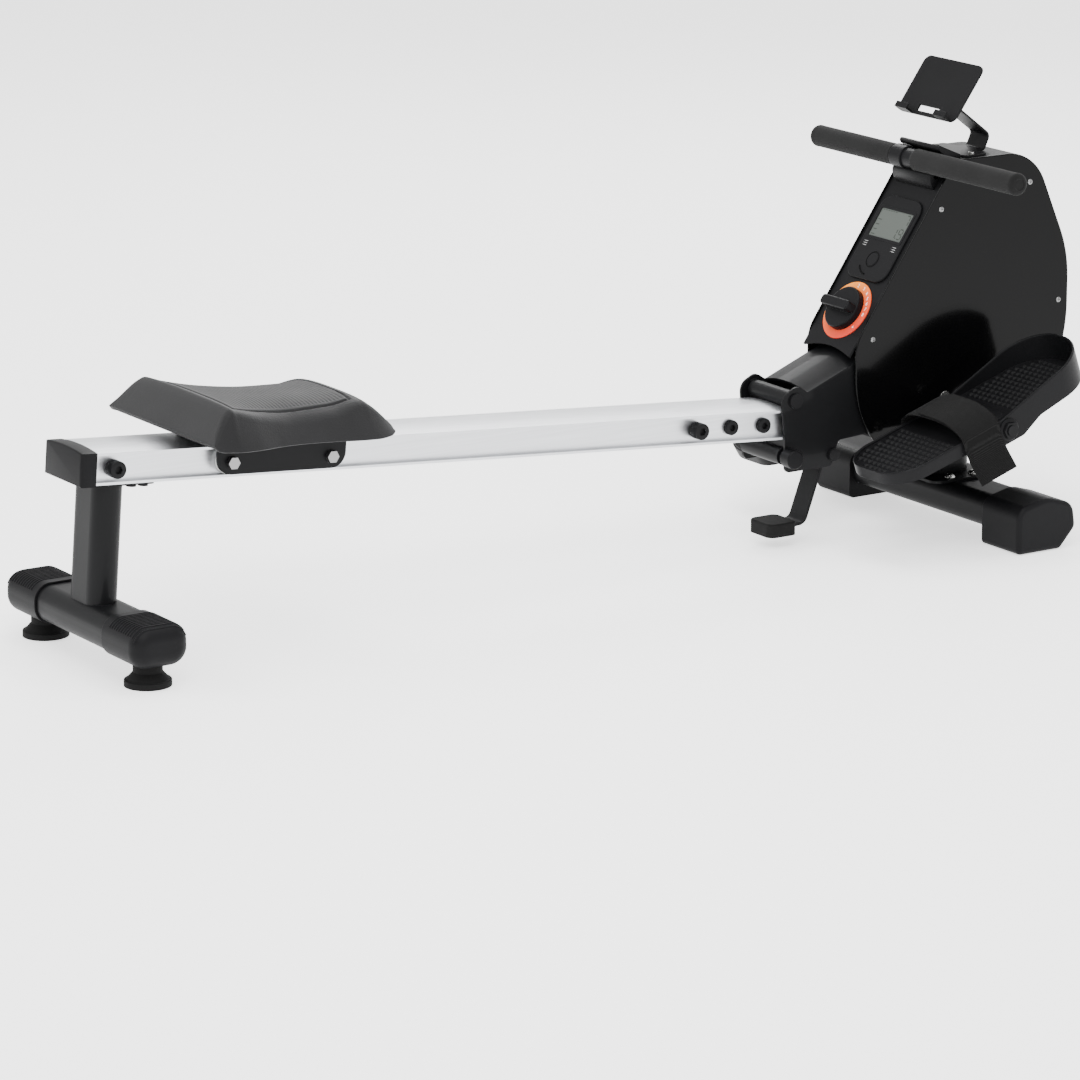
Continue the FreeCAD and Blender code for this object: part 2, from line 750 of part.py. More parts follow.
# ---------------------------------------------------------------- phone tray
def phone_holder():
    hinge = tray_hinge()
    base_z = housing_top + strip_thick / 2
    path = [(150.0, base_z), (212.0, base_z), (222.0, base_z + 22), (hinge[0] + 9, hinge[1] - 2)]
    plate = strip(path, [7.0, 9.0], strip_thick, -strip_half, strip_half)
    barrel = cross_rod(hinge[0], hinge[1], 6.0, -strip_half, strip_half)
    link = strip([(hinge[0] + 12, hinge[1] - 3.0), (hinge[0], hinge[1])], [], strip_thick,
                 -strip_half, strip_half)
    base = slab(rectangle(tray_screw_x - 20, tray_screw_x + 24, -tray_screw_y - 11, tray_screw_y + 11),
                10.0, housing_top, housing_top + strip_thick, "xy")
    bracket = fuse([base, plate, barrel, link])
    cuts = [cross_rod(hinge[0], hinge[1], 2.5, -80, 80)]
    for x, y in tray_screws():
        cuts.append(upright(x, y, 2.0, housing_top - 5, housing_top + 10))
    save("phone_bracket", bracket.cut(cuts))
    screws = []
    for x, y in tray_screws():
        head = upright(x, y, 4.5, housing_top + strip_thick, housing_top + strip_thick + 2.4)
        screws.append(fuse([head, upright(x, y, 2.0, housing_top, housing_top + strip_thick + 1)]))
    save("phone_bracket_screws", screws)
    save("phone_hinge_pin", cross_rod(hinge[0], hinge[1], 2.5, -strip_half - 9, strip_half + 9))
    back = -tray_thick
    plate = slab(rectangle(0, tray_length, -tray_half, tray_half), 12.0, back, 0, "xy")
    plate = plate.cut(block(6, 16, -24, 24, back - 1, 1))
    lips = []
    for y in (-46.0, 46.0):
        lips.append(block(0, 3, y - 14, y + 14, -0.5, 13))
        lips.append(block(0, 9, y - 14, y + 14, 11, 13))
    ears = []
    reach = 8.0 + tray_thick
    for y in (-strip_half - 8, strip_half + part_gap):
        ears.append(block(tray_hinge_up - 7, tray_hinge_up + 7, y, y + 8 - part_gap, -reach - 6, back))
    tray = placed(fuse([plate] + lips + ears), -tray_angle, tray_x, tray_z)
    bore = cross_rod(hinge[0], hinge[1], 2.5 + running_gap, -80, 80)
    save("phone_tray", tray.cut(bore))


def tray_hinge():
    """Hinge axis of the tray, behind its plate."""
    slope = math.radians(tray_angle)
    back = -(8.0 + tray_thick)
    x = tray_x + tray_hinge_up * math.cos(slope) - back * math.sin(slope)
    z = tray_z + tray_hinge_up * math.sin(slope) + back * math.cos(slope)
    return x, z


def tray_screws():
    return [(tray_screw_x, -tray_screw_y), (tray_screw_x, tray_screw_y)]


# ---------------------------------------------------------------- handlebar and strap
def grip(inner):
    """Foam sleeve from inner to the rounded end of the bar, on the left side."""
    sleeve = cross_rod(bar_x, bar_z, grip_r, inner, grip_end_y)
    rims = [edge for edge in sleeve.Edges if edge.BoundBox.YMin > grip_end_y - 0.1]
    sleeve = sleeve.makeFillet(grip_r * 0.7, rims)
    return sleeve.cut(cross_rod(bar_x, bar_z, bar_r, inner - 1, grip_end_y - grip_end_wall))


def handlebar():
    end = grip_end_y - grip_end_wall
    save("handlebar_tube", cross_rod(bar_x, bar_z, bar_r, -end, end))
    save("grip_left", grip(grip_left_inner))
    save("grip_right", mirror(grip(grip_right_inner)))
    collar = cross_rod(bar_x, bar_z, collar_r, collar_start, grip_left_inner)
    collar = collar.makeFillet(1.5, collar.Edges)
    collar = collar.fuse(cross_rod(bar_x, bar_z, sleeve_r, -grip_right_inner, collar_start + 3))
    bore = cross_rod(bar_x, bar_z, bar_r, -grip_right_inner - 1, grip_left_inner + 1)
    save("handle_collar", collar.cut(bore))


def tangent_points(first, second):
    """Outer tangent over two circles (x, z, r), on the side towards +X and up."""
    dx = second[0] - first[0]
    dz = second[1] - first[1]
    span = math.hypot(dx, dz)
    bearing = math.atan2(dz, dx)
    lean = math.acos((first[2] - second[2]) / span)
    angle = bearing + lean
    nx = math.cos(angle)
    nz = math.sin(angle)
    return [(first[0] + nx * first[2], first[1] + nz * first[2]),
            (second[0] + nx * second[2], second[1] + nz * second[2])]


def pull_strap():
    middle = guide_r + part_gap + tape_thick / 2
    reach = drum_r + part_gap + tape_thick / 2
    touch = tangent_points((guide_x, guide_z, middle), (drum_x, drum_z, reach))
    pull = math.radians(pull_angle)
    start = (bar_x + (collar_r + part_gap) * math.cos(pull), bar_z - (collar_r + part_gap) * math.sin(pull))
    over = (guide_x, guide_z + middle)
    first = strip([start, over], [], tape_thick, -strap_tape / 2, strap_tape / 2)
    ring = cross_rod(guide_x, guide_z, middle + tape_thick / 2, -strap_tape / 2, strap_tape / 2)
    ring = ring.cut(cross_rod(guide_x, guide_z, middle - tape_thick / 2, -30, 30))
    out = (touch[0][0] - guide_x, touch[0][1] - guide_z)
    far = 40.0
    wedge = slab([(guide_x, guide_z), (guide_x, guide_z + far), (guide_x + far, guide_z + far),
                  (guide_x + out[0] * 4, guide_z + out[1] * 4)], 0, -30, 30)
    second = strip([touch[0], touch[1]], [], tape_thick, -strap_tape / 2, strap_tape / 2)
    save("pull_strap", fuse([first, ring.common(wedge), second]))


# ---------------------------------------------------------------- drive
def spoked_disc(x, z, radius, half, hub, rim, bore):
    disc = cross_rod(x, z, radius, -half, half)
    disc = disc.makeChamfer(1.5, disc.Edges)
    for side in (1, -1):
        low = min(side * 4, side * (half + 1))
        pan = cross_rod(x, z, radius - rim, low, low + half - 3)
        disc = disc.cut(pan.cut(cross_rod(x, z, hub, low - 1, low + half)))
    return disc.cut(cross_rod(x, z, bore, -half - 20, half + 20))


def drive():
    outer = frame_inner_half + sheet_steel
    wheel = spoked_disc(flywheel_x, flywheel_z, flywheel_r, flywheel_half, 26.0, 22.0, 16.0)
    small = cross_rod(flywheel_x, flywheel_z, small_pulley_r, flywheel_half, belt_y + belt_width)
    groove = cross_rod(flywheel_x, flywheel_z, small_pulley_r + 5, belt_y - belt_width / 2,
                       belt_y + belt_width / 2)
    groove = groove.cut(cross_rod(flywheel_x, flywheel_z, small_pulley_r - 3, -60, 60))
    small = small.cut([groove, cross_rod(flywheel_x, flywheel_z, shaft_r + 2, -60, 60)])
    save("flywheel", fuse([wheel, small]))
    bearings = []
    for side in (1, -1):
        low = min(side * 3, side * flywheel_half)
        race = cross_rod(flywheel_x, flywheel_z, 16.0, low, low + flywheel_half - 3)
        bearings.append(race.cut(cross_rod(flywheel_x, flywheel_z, shaft_r + running_gap, -60, 60)))
    save("flywheel_bearings", bearings)
    save("drive_shafts", [axle_with_nuts(flywheel_x, flywheel_z, shaft_r, outer),
                          axle_with_nuts(drum_x, drum_z, shaft_r, outer)])
    side_low = strap_tape / 2 + 1
    drum = [cross_rod(drum_x, drum_z, drum_r, -side_low, side_low),
            cross_rod(drum_x, drum_z, drum_r + 8, -side_low - 3, -side_low),
            cross_rod(drum_x, drum_z, drum_r + 8, side_low, side_low + 3),
            cross_rod(drum_x, drum_z, 16.0, side_low, belt_y)]
    wheel = cross_rod(drum_x, drum_z, pulley_r, belt_y - belt_width / 2 - 2, belt_y + belt_width / 2 + 2)
    groove = cross_rod(drum_x, drum_z, pulley_r + 5, belt_y - belt_width / 2, belt_y + belt_width / 2)
    groove = groove.cut(cross_rod(drum_x, drum_z, pulley_r - 3, -60, 60))
    wheel = wheel.cut(groove)
    for turn in range(6):
        angle = math.radians(60 * turn)
        hole = cross_rod(drum_x + 46 * math.cos(angle), drum_z + 46 * math.sin(angle), 12.0, 17, 40)
        wheel = wheel.cut(hole)
    bore = cross_rod(drum_x, drum_z, shaft_r + running_gap, -60, 60)
    save("drive_pulley", fuse(drum + [wheel]).cut(bore))
    belt()
    coil = cross_rod(drum_x, drum_z, 34.0, -40, -22)
    save("recoil_spring", coil.cut(cross_rod(drum_x, drum_z, shaft_r, -60, 60)))
    roller = cross_rod(guide_x, guide_z, guide_r, -strap_tape / 2 - 2, strap_tape / 2 + 2)
    flanges = [cross_rod(guide_x, guide_z, guide_r + 3, strap_tape / 2 + 2, strap_tape / 2 + 5),
               cross_rod(guide_x, guide_z, guide_r + 3, -strap_tape / 2 - 5, -strap_tape / 2 - 2)]
    roller = fuse([roller] + flanges)
    save("strap_roller", roller.cut(cross_rod(guide_x, guide_z, guide_pin_r + running_gap, -60, 60)))
    save("inner_pins", [cross_rod(guide_x, guide_z, guide_pin_r, -outer, outer),
                        cross_rod(brake_x, brake_z, brake_pin_r, -outer, outer)])


def axle_with_nuts(x, z, radius, outer):
    rod = cross_rod(x, z, radius, -outer - 2, outer + 2)
    nuts = []
    for low in (-frame_inner_half, frame_inner_half - 5):
        nuts.append(cross_rod(x, z, radius + 4, low, low + 5))
    return fuse([rod] + nuts)


def belt():
    first = (drum_x, drum_z, pulley_r)
    second = (flywheel_x, flywheel_z, small_pulley_r)

    def loop(grow):
        a = (first[0], first[1], first[2] + grow)
        b = (second[0], second[1], second[2] + grow)
        right = tangent_points(a, b)
        flipped = tangent_points((-a[0], a[1], a[2]), (-b[0], b[1], b[2]))
        left = [(-x, z) for x, z in flipped]
        low = belt_y - belt_width / 2 + part_gap
        high = belt_y + belt_width / 2 - part_gap
        web = slab([right[0], right[1], left[1], left[0]], 0, low, high)
        return fuse([web, cross_rod(a[0], a[1], a[2], low, high), cross_rod(b[0], b[1], b[2], low, high)])

    grow = -3 + part_gap
    save("drive_belt", loop(grow + belt_thick).cut(loop(grow)))


def brake():
    """Magnet carrier beside the flywheel's rim, swung clear at the lowest setting."""
    open_angle = 5.0
    gap = flywheel_half + 2.5
    mid_r = flywheel_r + 3
    outside = cross_rod(flywheel_x, flywheel_z, mid_r + 8, -gap - 3, gap + 3)
    hollow = cross_rod(flywheel_x, flywheel_z, mid_r, -gap, gap)
    centre = cross_rod(flywheel_x, flywheel_z, flywheel_r - 22, -60, 60)
    reach = 150.0
    low = math.radians(188)
    high = math.radians(150)
    sector = slab([(flywheel_x, flywheel_z),
                   (flywheel_x + reach * math.cos(high), flywheel_z + reach * math.sin(high)),
                   (flywheel_x + reach * math.cos(low), flywheel_z + reach * math.sin(low))],
                  0, -60, 60)
    body = outside.cut([hollow, centre]).common(sector)
    eye = cross_rod(brake_x, brake_z, 9.0, -gap - 3, gap + 3)
    arm = slab([(brake_x - 6, brake_z + 4), (brake_x + 8, brake_z - 2), (brake_x + 6, brake_z - 30),
                (brake_x - 10, brake_z - 30)], 0, -gap - 3, gap + 3).cut([hollow])
    carrier = fuse([body, eye, arm])
    carrier = carrier.cut(cross_rod(brake_x, brake_z, brake_pin_r + running_gap, -60, 60))
    magnets = []
    for angle in (156, 169, 182):
        turn = math.radians(angle)
        x = flywheel_x + (flywheel_r - 11) * math.cos(turn)
        z = flywheel_z + (flywheel_r - 11) * math.sin(turn)
        magnets.append(cross_rod(x, z, 8.0, gap - 1.5, gap))
        magnets.append(cross_rod(x, z, 8.0, -gap, -gap + 1.5))
    turned = []
    for shape in [carrier] + magnets:
        copy = shape.copy()
        copy.rotate(V(brake_x, 0, brake_z), V(0, 1, 0), open_angle)
        turned.append(copy)
    save("magnet_bracket", turned[0])
    save("brake_magnets", turned[1:])


def tension_cable():
    """Cable sleeve from under the knob to the magnet carrier, in straight runs and arcs."""
    top = console_point(dial_u, -panel_recess - 16)
    points = [top, (top[0] + 26, top[1] - 20), (top[0] + 64, top[1] - 26),
              (brake_x - 14.5, brake_z - 26)]
    edges = []
    route = [V(x, 0, z) for x, z in points]
    here = route[0]
    for i in range(1, len(route) - 1):
        before = route[i - 1] - route[i]
        after = route[i + 1] - route[i]
        shorter = min(before.Length, after.Length)
        before.normalize()
        after.normalize()
        half = before.getAngle(after) / 2
        reach = 0.45 * shorter
        radius = reach * math.tan(half)
        middle = before + after
        middle.normalize()
        start = route[i] + before * reach
        end = route[i] + after * reach
        mid = route[i] + middle * (radius / math.sin(half) - radius)
        edges.append(Part.makeLine(here, start))
        edges.append(Part.Arc(start, mid, end).toShape())
        print("cable bend radius", round(radius, 1))
        here = end
    edges.append(Part.makeLine(here, route[-1]))
    path = Part.Wire(edges)
    along = route[1] - route[0]
    ring = Part.Wire([Part.makeCircle(2.5, route[0], along)])
    save("tension_cable", path.makePipeShell([ring], True, False))


# ---------------------------------------------------------------- pedals
def pedal_outline(inset, low, high):
    """The footrest's plan outline as a slab: u from heel to toe, y across."""
    half = pedal_half - inset
    heel_r = pedal_heel_round - inset
    toe_r = pedal_toe_round - inset
    corners = rectangle(-pedal_heel + inset, pedal_toe - inset, -half, half)
    return slab(corners, [heel_r, toe_r, toe_r, heel_r], low, high, "xy")


def pedal_wall_profile():
    """Side view of the wall: a low lip at the heel, a skirt at the axle and a high rim at the toe."""
    lip = pedal_plate_high + pedal_lip
    top = pedal_plate_high + pedal_toe_rim
    middle = pedal_plate_high + pedal_toe_rim * 0.46
    profile = [(-pedal_heel - 1, 0.0), (-pedal_heel - 1, lip), (-8.0, lip), (pedal_toe * 0.39, middle),
               (pedal_toe + 1, top + 1), (pedal_toe + 1, 6.0), (60.0, -5.0), (24.0, -pedal_skirt),
               (-28.0, -pedal_skirt), (-84.0, -2.0)]
    radii = [0, 0, 60, 80, 0, 0, 20, 14, 14, 30]
    return slab(profile, radii, -pedal_half - 1, pedal_half + 1)


def pedal(angle, y):
    plate = pedal_outline(0.0, pedal_plate_low, pedal_plate_high)
    wall = pedal_outline(0.0, -pedal_skirt - 1, pedal_plate_high + pedal_toe_rim + 1)
    wall = wall.cut(pedal_outline(pedal_wall, -pedal_skirt - 2, pedal_plate_high + pedal_toe_rim + 2))
    wall = wall.common(pedal_wall_profile())
    across = V(0, 1, 0)
    boss = fuse([Part.makeCylinder(pedal_boss_r, 2 * pedal_half, V(0, -pedal_half, 0), across),
                 block(-10, 10, -pedal_half + 1, pedal_half - 1, 0, pedal_plate_low + 1)])
    shape = fuse([plate, wall, boss])
    bore = Part.makeCylinder(axle_r + running_gap, 2 * pedal_half + 2, V(0, -pedal_half - 1, 0), across)
    moved = []
    for piece in (shape.cut(bore), pedal_strap()):
        copy = piece.copy()
        copy.translate(V(0, y, 0))
        moved.append(placed(copy, -angle, axle_x, axle_z))
    return moved


def pedal_strap():
    """The strap over the foot, from one side of the pedal to the other."""
    side = pedal_half + strap_thick / 2 + part_gap
    shoulder = pedal_plate_high + 10
    path = [(-side, pedal_plate_low - 4), (-side, shoulder), (-side + 34, strap_height),
            (side - 34, strap_height), (side, shoulder), (side, pedal_plate_low - 4)]
    band = strip(path, [10.0, 24.0, 24.0, 10.0], strap_thick, 0, strap_width)
    band.rotate(V(0, 0, 0), V(0, 0, 1), 90)
    band.translate(V(strap_u + strap_width / 2, 0, 0))
    return band


def pedals():
    foot, band = pedal(near_pedal_angle, -pedal_centre)
    save("pedal_right", foot)
    save("pedal_strap_right", band)
    foot, band = pedal(far_pedal_angle, pedal_centre)
    save("pedal_left", foot)
    save("pedal_strap_left", band)
    reach = pedal_centre + pedal_half + part_gap
    collar_out = pedal_centre - pedal_half - part_gap
    collar_in = cover_half + 1
    rod_end = reach + axle_nut_length + 2
    rod = cross_rod(axle_x, axle_z, axle_r, -rod_end, rod_end)
    collars = both(cross_rod(axle_x, axle_z, axle_nut_r, collar_in + axle_nut_length, collar_out))
    save("pedal_axle", fuse([rod] + collars))
    nuts = []
    for low in (collar_in, reach):
        high = low + axle_nut_length
        nut = hexagon(axle_x, axle_z, axle_nut_r, low, high)
        nut = nut.cut(cross_rod(axle_x, axle_z, axle_r, low - 1, high + 1))
        nuts.extend(both(nut))
    save("pedal_axle_nuts", nuts)


def hexagon(x, z, radius, y0, y1):
    corners = []
    for turn in range(6):
        angle = math.radians(60 * turn)
        corners.append((x + radius * math.cos(angle), z + radius * math.sin(angle)))
    return slab(corners, 0, y0, y1)


# ---------------------------------------------------------------- rail
def rail_section(side):
    """Right half of the rail's outline from bottom centre to top centre, times side."""
    web = rail_half - channel_depth
    points = [(rail_half, 0), (rail_half, rail_lip), (web, rail_lip), (web, rail_side - rail_edge),
              (rail_half, rail_side - rail_edge), (rail_half, rail_side)]
    return [(side * y, z) for y, z in points]


def rail():
    left = rail_section(-1.0)
    right = rail_section(1.0)
    edges = []
    points = [V(0, y, z) for y, z in left[::-1]] + [V(0, y, z) for y, z in right]
    for a, b in zip(points[:-1], points[1:]):
        edges.append(Part.makeLine(a, b))
    crown = V(0, 0, rail_side + rail_crown)
    edges.append(Part.Arc(points[-1], crown, points[0]).toShape())
    body = Part.Face(Part.Wire(edges)).extrude(V(-(rail_length - cap_wall), 0, 0))
    web = rail_half - channel_depth - rail_wall
    hollow = block(-rail_length - 1, 1, -web, web, rail_wall, rail_side - rail_edge)
    holes = []
    for x in rail_bolts():
        holes.append(cross_rod(x, rail_bolt_z, 5.0, -60, 60))
    for x in leg_bolts():
        holes.append(upright(x, leg_bolt_y, leg_bolt_r, -1, rail_wall + 1))
        holes.append(upright(x, -leg_bolt_y, leg_bolt_r, -1, rail_wall + 1))
    save("rail", on_rail(body.cut([hollow] + holes)))
    cap = block(-rail_length, -rail_length + cap_length, -rail_half - cap_wall, rail_half + cap_wall,
                -cap_wall, rail_side + rail_crown + cap_wall)
    rims = [edge for edge in cap.Edges if edge.BoundBox.XMax < -rail_length + 0.1]
    cap = cap.makeFillet(2.5, rims)
    pocket = block(-rail_length + cap_wall, 1, -rail_half, rail_half, 0, rail_side + rail_crown)
    cap = cap.cut(pocket)
    web = rail_half - channel_depth
    for y in (web + 0.5, -rail_half + 1):
        tongue = block(-rail_length + cap_wall - 0.5, -rail_length + cap_length + 12, y,
                       y + channel_depth - 1.5, rail_lip + 3, rail_side - rail_edge - 1)
        cap = cap.fuse(tongue)
    save("rail_end_cap", on_rail(cap.removeSplitter()))


def rail_bolts():
    """Cross bolts along the rail: two for the bracket's tongue and two stops."""
    return [-38.8, -95.8, -157.3, -(rail_length - 51.4)]


def leg_bolts():
    return [-rear_post_back + 34, -rear_post_back + 52]


def rail_stop_bolts():
    bolts = []
    web = rail_half - channel_depth
    spots = rail_bolts()
    for x in spots[:2]:
        bolts.append(fuse([cross_rod(x, rail_bolt_z, 5.0, -web - 1, web + 1),
                           cross_rod(x, rail_bolt_z, 11.0, web, web + 7),
                           cross_rod(x, rail_bolt_z, 11.0, -web - 7, -web)]))
    for x in spots[2:]:
        reach = rail_half + 11
        bolts.append(fuse([cross_rod(x, rail_bolt_z, 5.0, -web - 1, web + 1),
                           cross_rod(x, rail_bolt_z, 12.0, web, reach),
                           cross_rod(x, rail_bolt_z, 12.0, -reach, -web)]))
    save("rail_stop_bolts", [on_rail(bolt) for bolt in bolts])


def rail_bracket():
    outer = frame_inner_half - part_gap
    inner = outer - sheet_steel
    cheek = hull_plate([(pivot_x, pivot_z, pivot_tube_r + 1), (lock_x, lock_z, pivot_tube_r + 1)],
                       inner, outer)
    front = rail_front_x
    filler = slab([(front, lock_z), (lock_x, lock_z), (pivot_x, pivot_z), (front, pivot_z)], 0,
                  inner, outer)
    cheek = fuse([cheek, filler])
    tilt = on_rail(block(-200, 0, -200, 200, -200, 300))
    cheek = cheek.cut(tilt)
    web = on_rail(block(0, sheet_steel, -outer, outer, lock_z - rail_front_z - 10,
                        pivot_z - rail_front_z + 4))
    pivot_tube = cross_rod(pivot_x, pivot_z, pivot_tube_r, -inner, inner)
    lock_tube = cross_rod(lock_x, lock_z, pivot_tube_r, -inner, inner)
    half = rail_half - channel_depth - rail_wall - part_gap
    tongue = block(-130, 1, -half, half, rail_wall + part_gap, rail_side - rail_edge - part_gap)
    wall = sheet_steel
    tongue = tongue.cut(block(-131, 0, -half + wall, half - wall, rail_wall + wall + part_gap,
                              rail_side - rail_edge - wall - part_gap))
    holes = [cross_rod(x, rail_bolt_z, 5.0, -60, 60) for x in rail_bolts()[:2]]
    tongue = on_rail(tongue.cut(holes))
    bracket = fuse([cheek, mirror(cheek), web, pivot_tube, lock_tube, tongue])
    cuts = [cross_rod(pivot_x, pivot_z, pivot_bolt_r + running_gap, -60, 60),
            cross_rod(lock_x, lock_z, lock_pin_r + 0.5, -60, 60)]
    save("rail_bracket", bracket.cut(cuts))


# ---------------------------------------------------------------- rear leg
def rear_bar_outline(grow):
    return rectangle(rear_bar_x - rear_bar_width / 2 - grow, rear_bar_x + rear_bar_width / 2 + grow,
                     rear_bar_bottom - grow, rear_bar_top + grow)


def rear_leg():
    tube_half = rear_bar_half - 20
    tube = slab(rear_bar_outline(-3.0), 22.0, -tube_half, tube_half)
    tube = tube.cut(slab(rear_bar_outline(-6.0), 19.0, -tube_half - 1, tube_half + 1))
    drop = rail_front_z + rear_post_back * math.sin(math.radians(rail_tilt)) - rear_bar_top + 22
    post = slab(rectangle(-rear_post_back - 22, -rear_post_back + 22, -40, 40), 21.5,
                -drop, 0, "xy")
    bore = slab(rectangle(-rear_post_back - 19, -rear_post_back + 19, -37, 37), 18.5,
                -drop - 1, -sheet_steel, "xy")
    flange = slab(rectangle(-rear_post_back - 30, -rear_post_back + 62, -42, 42), 6.0,
                  -sheet_steel, 0, "xy")
    holes = []
    for x in leg_bolts():
        holes.append(upright(x, leg_bolt_y, leg_bolt_r, -sheet_steel - 1, 1))
        holes.append(upright(x, -leg_bolt_y, leg_bolt_r, -sheet_steel - 1, 1))
    post = on_rail(fuse([post.cut(bore), flange]).cut(holes))
    cavity = slab(rear_bar_outline(-6.0), 19.0, -tube_half + 1, tube_half - 1)
    stems = [upright(rear_bar_x, y, foot_stem_r, rear_bar_bottom + 2, rear_bar_bottom + 8)
             for y in (-foot_spread, foot_spread)]
    leg = fuse([tube, post.cut(cavity)]).cut(stems)
    save("rear_leg", leg)
    bolts = []
    for x in leg_bolts():
        for y in (-leg_bolt_y, leg_bolt_y):
            head = upright(x, y, leg_bolt_head_r, -sheet_steel - leg_bolt_head, -sheet_steel)
            shank = upright(x, y, leg_bolt_r, -sheet_steel, rail_wall)
            bolts.append(on_rail(fuse([head, shank])))
    save("rear_leg_bolts", bolts)
    inner = rear_bar_half - rear_cap_length
    cap = slab(rear_bar_outline(0.0), 25.0, inner, rear_bar_half)
    rims = [edge for edge in cap.Edges if edge.BoundBox.YMin > rear_bar_half - 0.1]
    cap = cap.makeFillet(rear_cap_round, rims)
    cap = cap.cut([slab(rear_bar_outline(-3.0), 22.0, inner - 1, tube_half),
                   upright(rear_bar_x, foot_spread, 8.0, rear_bar_bottom - 5, rear_bar_bottom + 8)])
    save("rear_end_caps", both(cap))
    for name, y in (("levelling_foot_left", foot_spread), ("levelling_foot_right", -foot_spread)):
        pad = upright(rear_bar_x, y, foot_pad_r, 0, foot_pad_height)
        cone_top = foot_pad_height + foot_cone_height
        cone = Part.makeCone(foot_pad_r - 3, foot_neck_r, foot_cone_height,
                             V(rear_bar_x, y, foot_pad_height))
        neck = upright(rear_bar_x, y, foot_neck_r, cone_top, rear_bar_bottom - part_gap)
        stem = upright(rear_bar_x, y, foot_stem_r - running_gap, rear_bar_bottom - 2,
                       rear_bar_bottom + 20)
        save(name, fuse([pad.makeFillet(2.0, pad.Edges[:1]), cone, neck, stem]))


# ---------------------------------------------------------------- seat and carriage
def roller_spots():
    middle = -(carriage_front + carriage_length / 2)
    return [middle + roller_spacing / 2, middle - roller_spacing / 2]


def carriage():
    rear = -(carriage_front + carriage_length)
    front = -carriage_front
    inner = rail_half + carriage_gap
    outer = inner + carriage_plate
    sides = slab([(rear, carriage_top), (rear, carriage_drop), (front, carriage_drop),
                  (front, carriage_top)], [0, carriage_round, carriage_round, 0], inner, outer)
    top = block(rear, front, -outer, outer, carriage_top - carriage_plate, carriage_top)
    body = fuse([sides, mirror(sides), top])
    holes = [cross_rod(x, rail_bolt_z, axle_bolt_r, -outer - 1, outer + 1) for x in roller_spots()]
    save("seat_carriage", on_rail(body.cut(holes)))
    web = rail_half - channel_depth
    bolts = []
    for x in roller_spots():
        shank = cross_rod(x, rail_bolt_z, axle_bolt_r, web + 1, outer)
        washer = cross_rod(x, rail_bolt_z, axle_head_r, rail_half + 0.6, inner)
        head = hexagon(x, rail_bolt_z, axle_head_r, outer, outer + axle_head_length)
        bolts.extend(both(fuse([shank, washer, head])))
    save("carriage_bolts", [on_rail(bolt) for bolt in bolts])
    roller_r = (rail_side - rail_edge - rail_lip) / 2 - part_gap
    for name, x in (("rollers_front", roller_spots()[0]), ("rollers_rear", roller_spots()[1])):
        low = web + 1.0
        wheel = cross_rod(x, rail_bolt_z, roller_r, low, low + roller_width)
        wheel = wheel.makeFillet(1.5, wheel.Edges)
        wheel = wheel.cut(cross_rod(x, rail_bolt_z, axle_bolt_r + running_gap, 0, 100))
        save(name, [on_rail(piece) for piece in both(wheel)])


def seat():
    """Plain closed seat: its side profile crossed with its plan outline."""
    middle = -(carriage_front + carriage_length / 2)
    low = carriage_top
    profile = [(middle + x, low + z) for x, z in seat_profile]
    body = slab(profile, seat_profile_rounds, -seat_half - 1, seat_half + 1)
    right = [(middle + x, -half) for x, half in seat_plan]
    left = [(middle + x, half) for x, half in reversed(seat_plan)]
    rounds = seat_plan_rounds + seat_plan_rounds[::-1]
    outline = slab(right + left, rounds, low - 50, low + 90, "xy")
    save("seat_pad", on_rail(body.common(outline)))


# ---------------------------------------------------------------- build
os.makedirs("parts", exist_ok=True)
side_covers()
cover_screws()
housing_shell()
main_frame()
post_bolts()
front_stabiliser()
pivot_and_lock()
foot_lever()
console_panel()
monitor()
dial()
cradle()
phone_holder()
handlebar()
pull_strap()
drive()
brake()
tension_cable()
pedals()
rail()
rail_stop_bolts()
rail_bracket()
rear_leg()
carriage()
seat()
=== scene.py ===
"""Looks of a folding magnetic rowing machine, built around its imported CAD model. Metres, +Z up."""

import json
import math

import bmesh
import bpy
from mathutils import Matrix, Vector
from mathutils.bvhtree import BVHTree


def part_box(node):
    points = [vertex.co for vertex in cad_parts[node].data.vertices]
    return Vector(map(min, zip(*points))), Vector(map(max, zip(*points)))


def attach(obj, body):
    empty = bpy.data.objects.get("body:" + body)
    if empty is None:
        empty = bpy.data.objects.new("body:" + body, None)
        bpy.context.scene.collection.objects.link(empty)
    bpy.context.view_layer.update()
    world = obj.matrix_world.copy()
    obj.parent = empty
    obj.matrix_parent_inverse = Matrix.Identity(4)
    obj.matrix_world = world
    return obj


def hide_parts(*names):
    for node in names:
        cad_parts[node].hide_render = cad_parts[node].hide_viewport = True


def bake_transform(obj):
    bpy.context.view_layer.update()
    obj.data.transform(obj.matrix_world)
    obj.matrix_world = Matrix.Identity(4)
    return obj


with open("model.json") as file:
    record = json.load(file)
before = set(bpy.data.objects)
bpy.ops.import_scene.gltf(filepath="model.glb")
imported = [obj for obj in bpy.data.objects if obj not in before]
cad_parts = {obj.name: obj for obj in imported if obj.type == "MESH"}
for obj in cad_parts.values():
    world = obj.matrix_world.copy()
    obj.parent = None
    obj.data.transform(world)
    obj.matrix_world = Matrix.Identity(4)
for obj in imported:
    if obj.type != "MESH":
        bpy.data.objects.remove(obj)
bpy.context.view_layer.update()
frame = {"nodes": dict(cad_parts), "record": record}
nodes = frame["nodes"]
MM = 0.001
ACROSS = Vector((0, 1, 0))
UP = Vector((0, 0, 1))
CORNERS = ((1, 1), (-1, 1), (-1, -1), (1, -1))


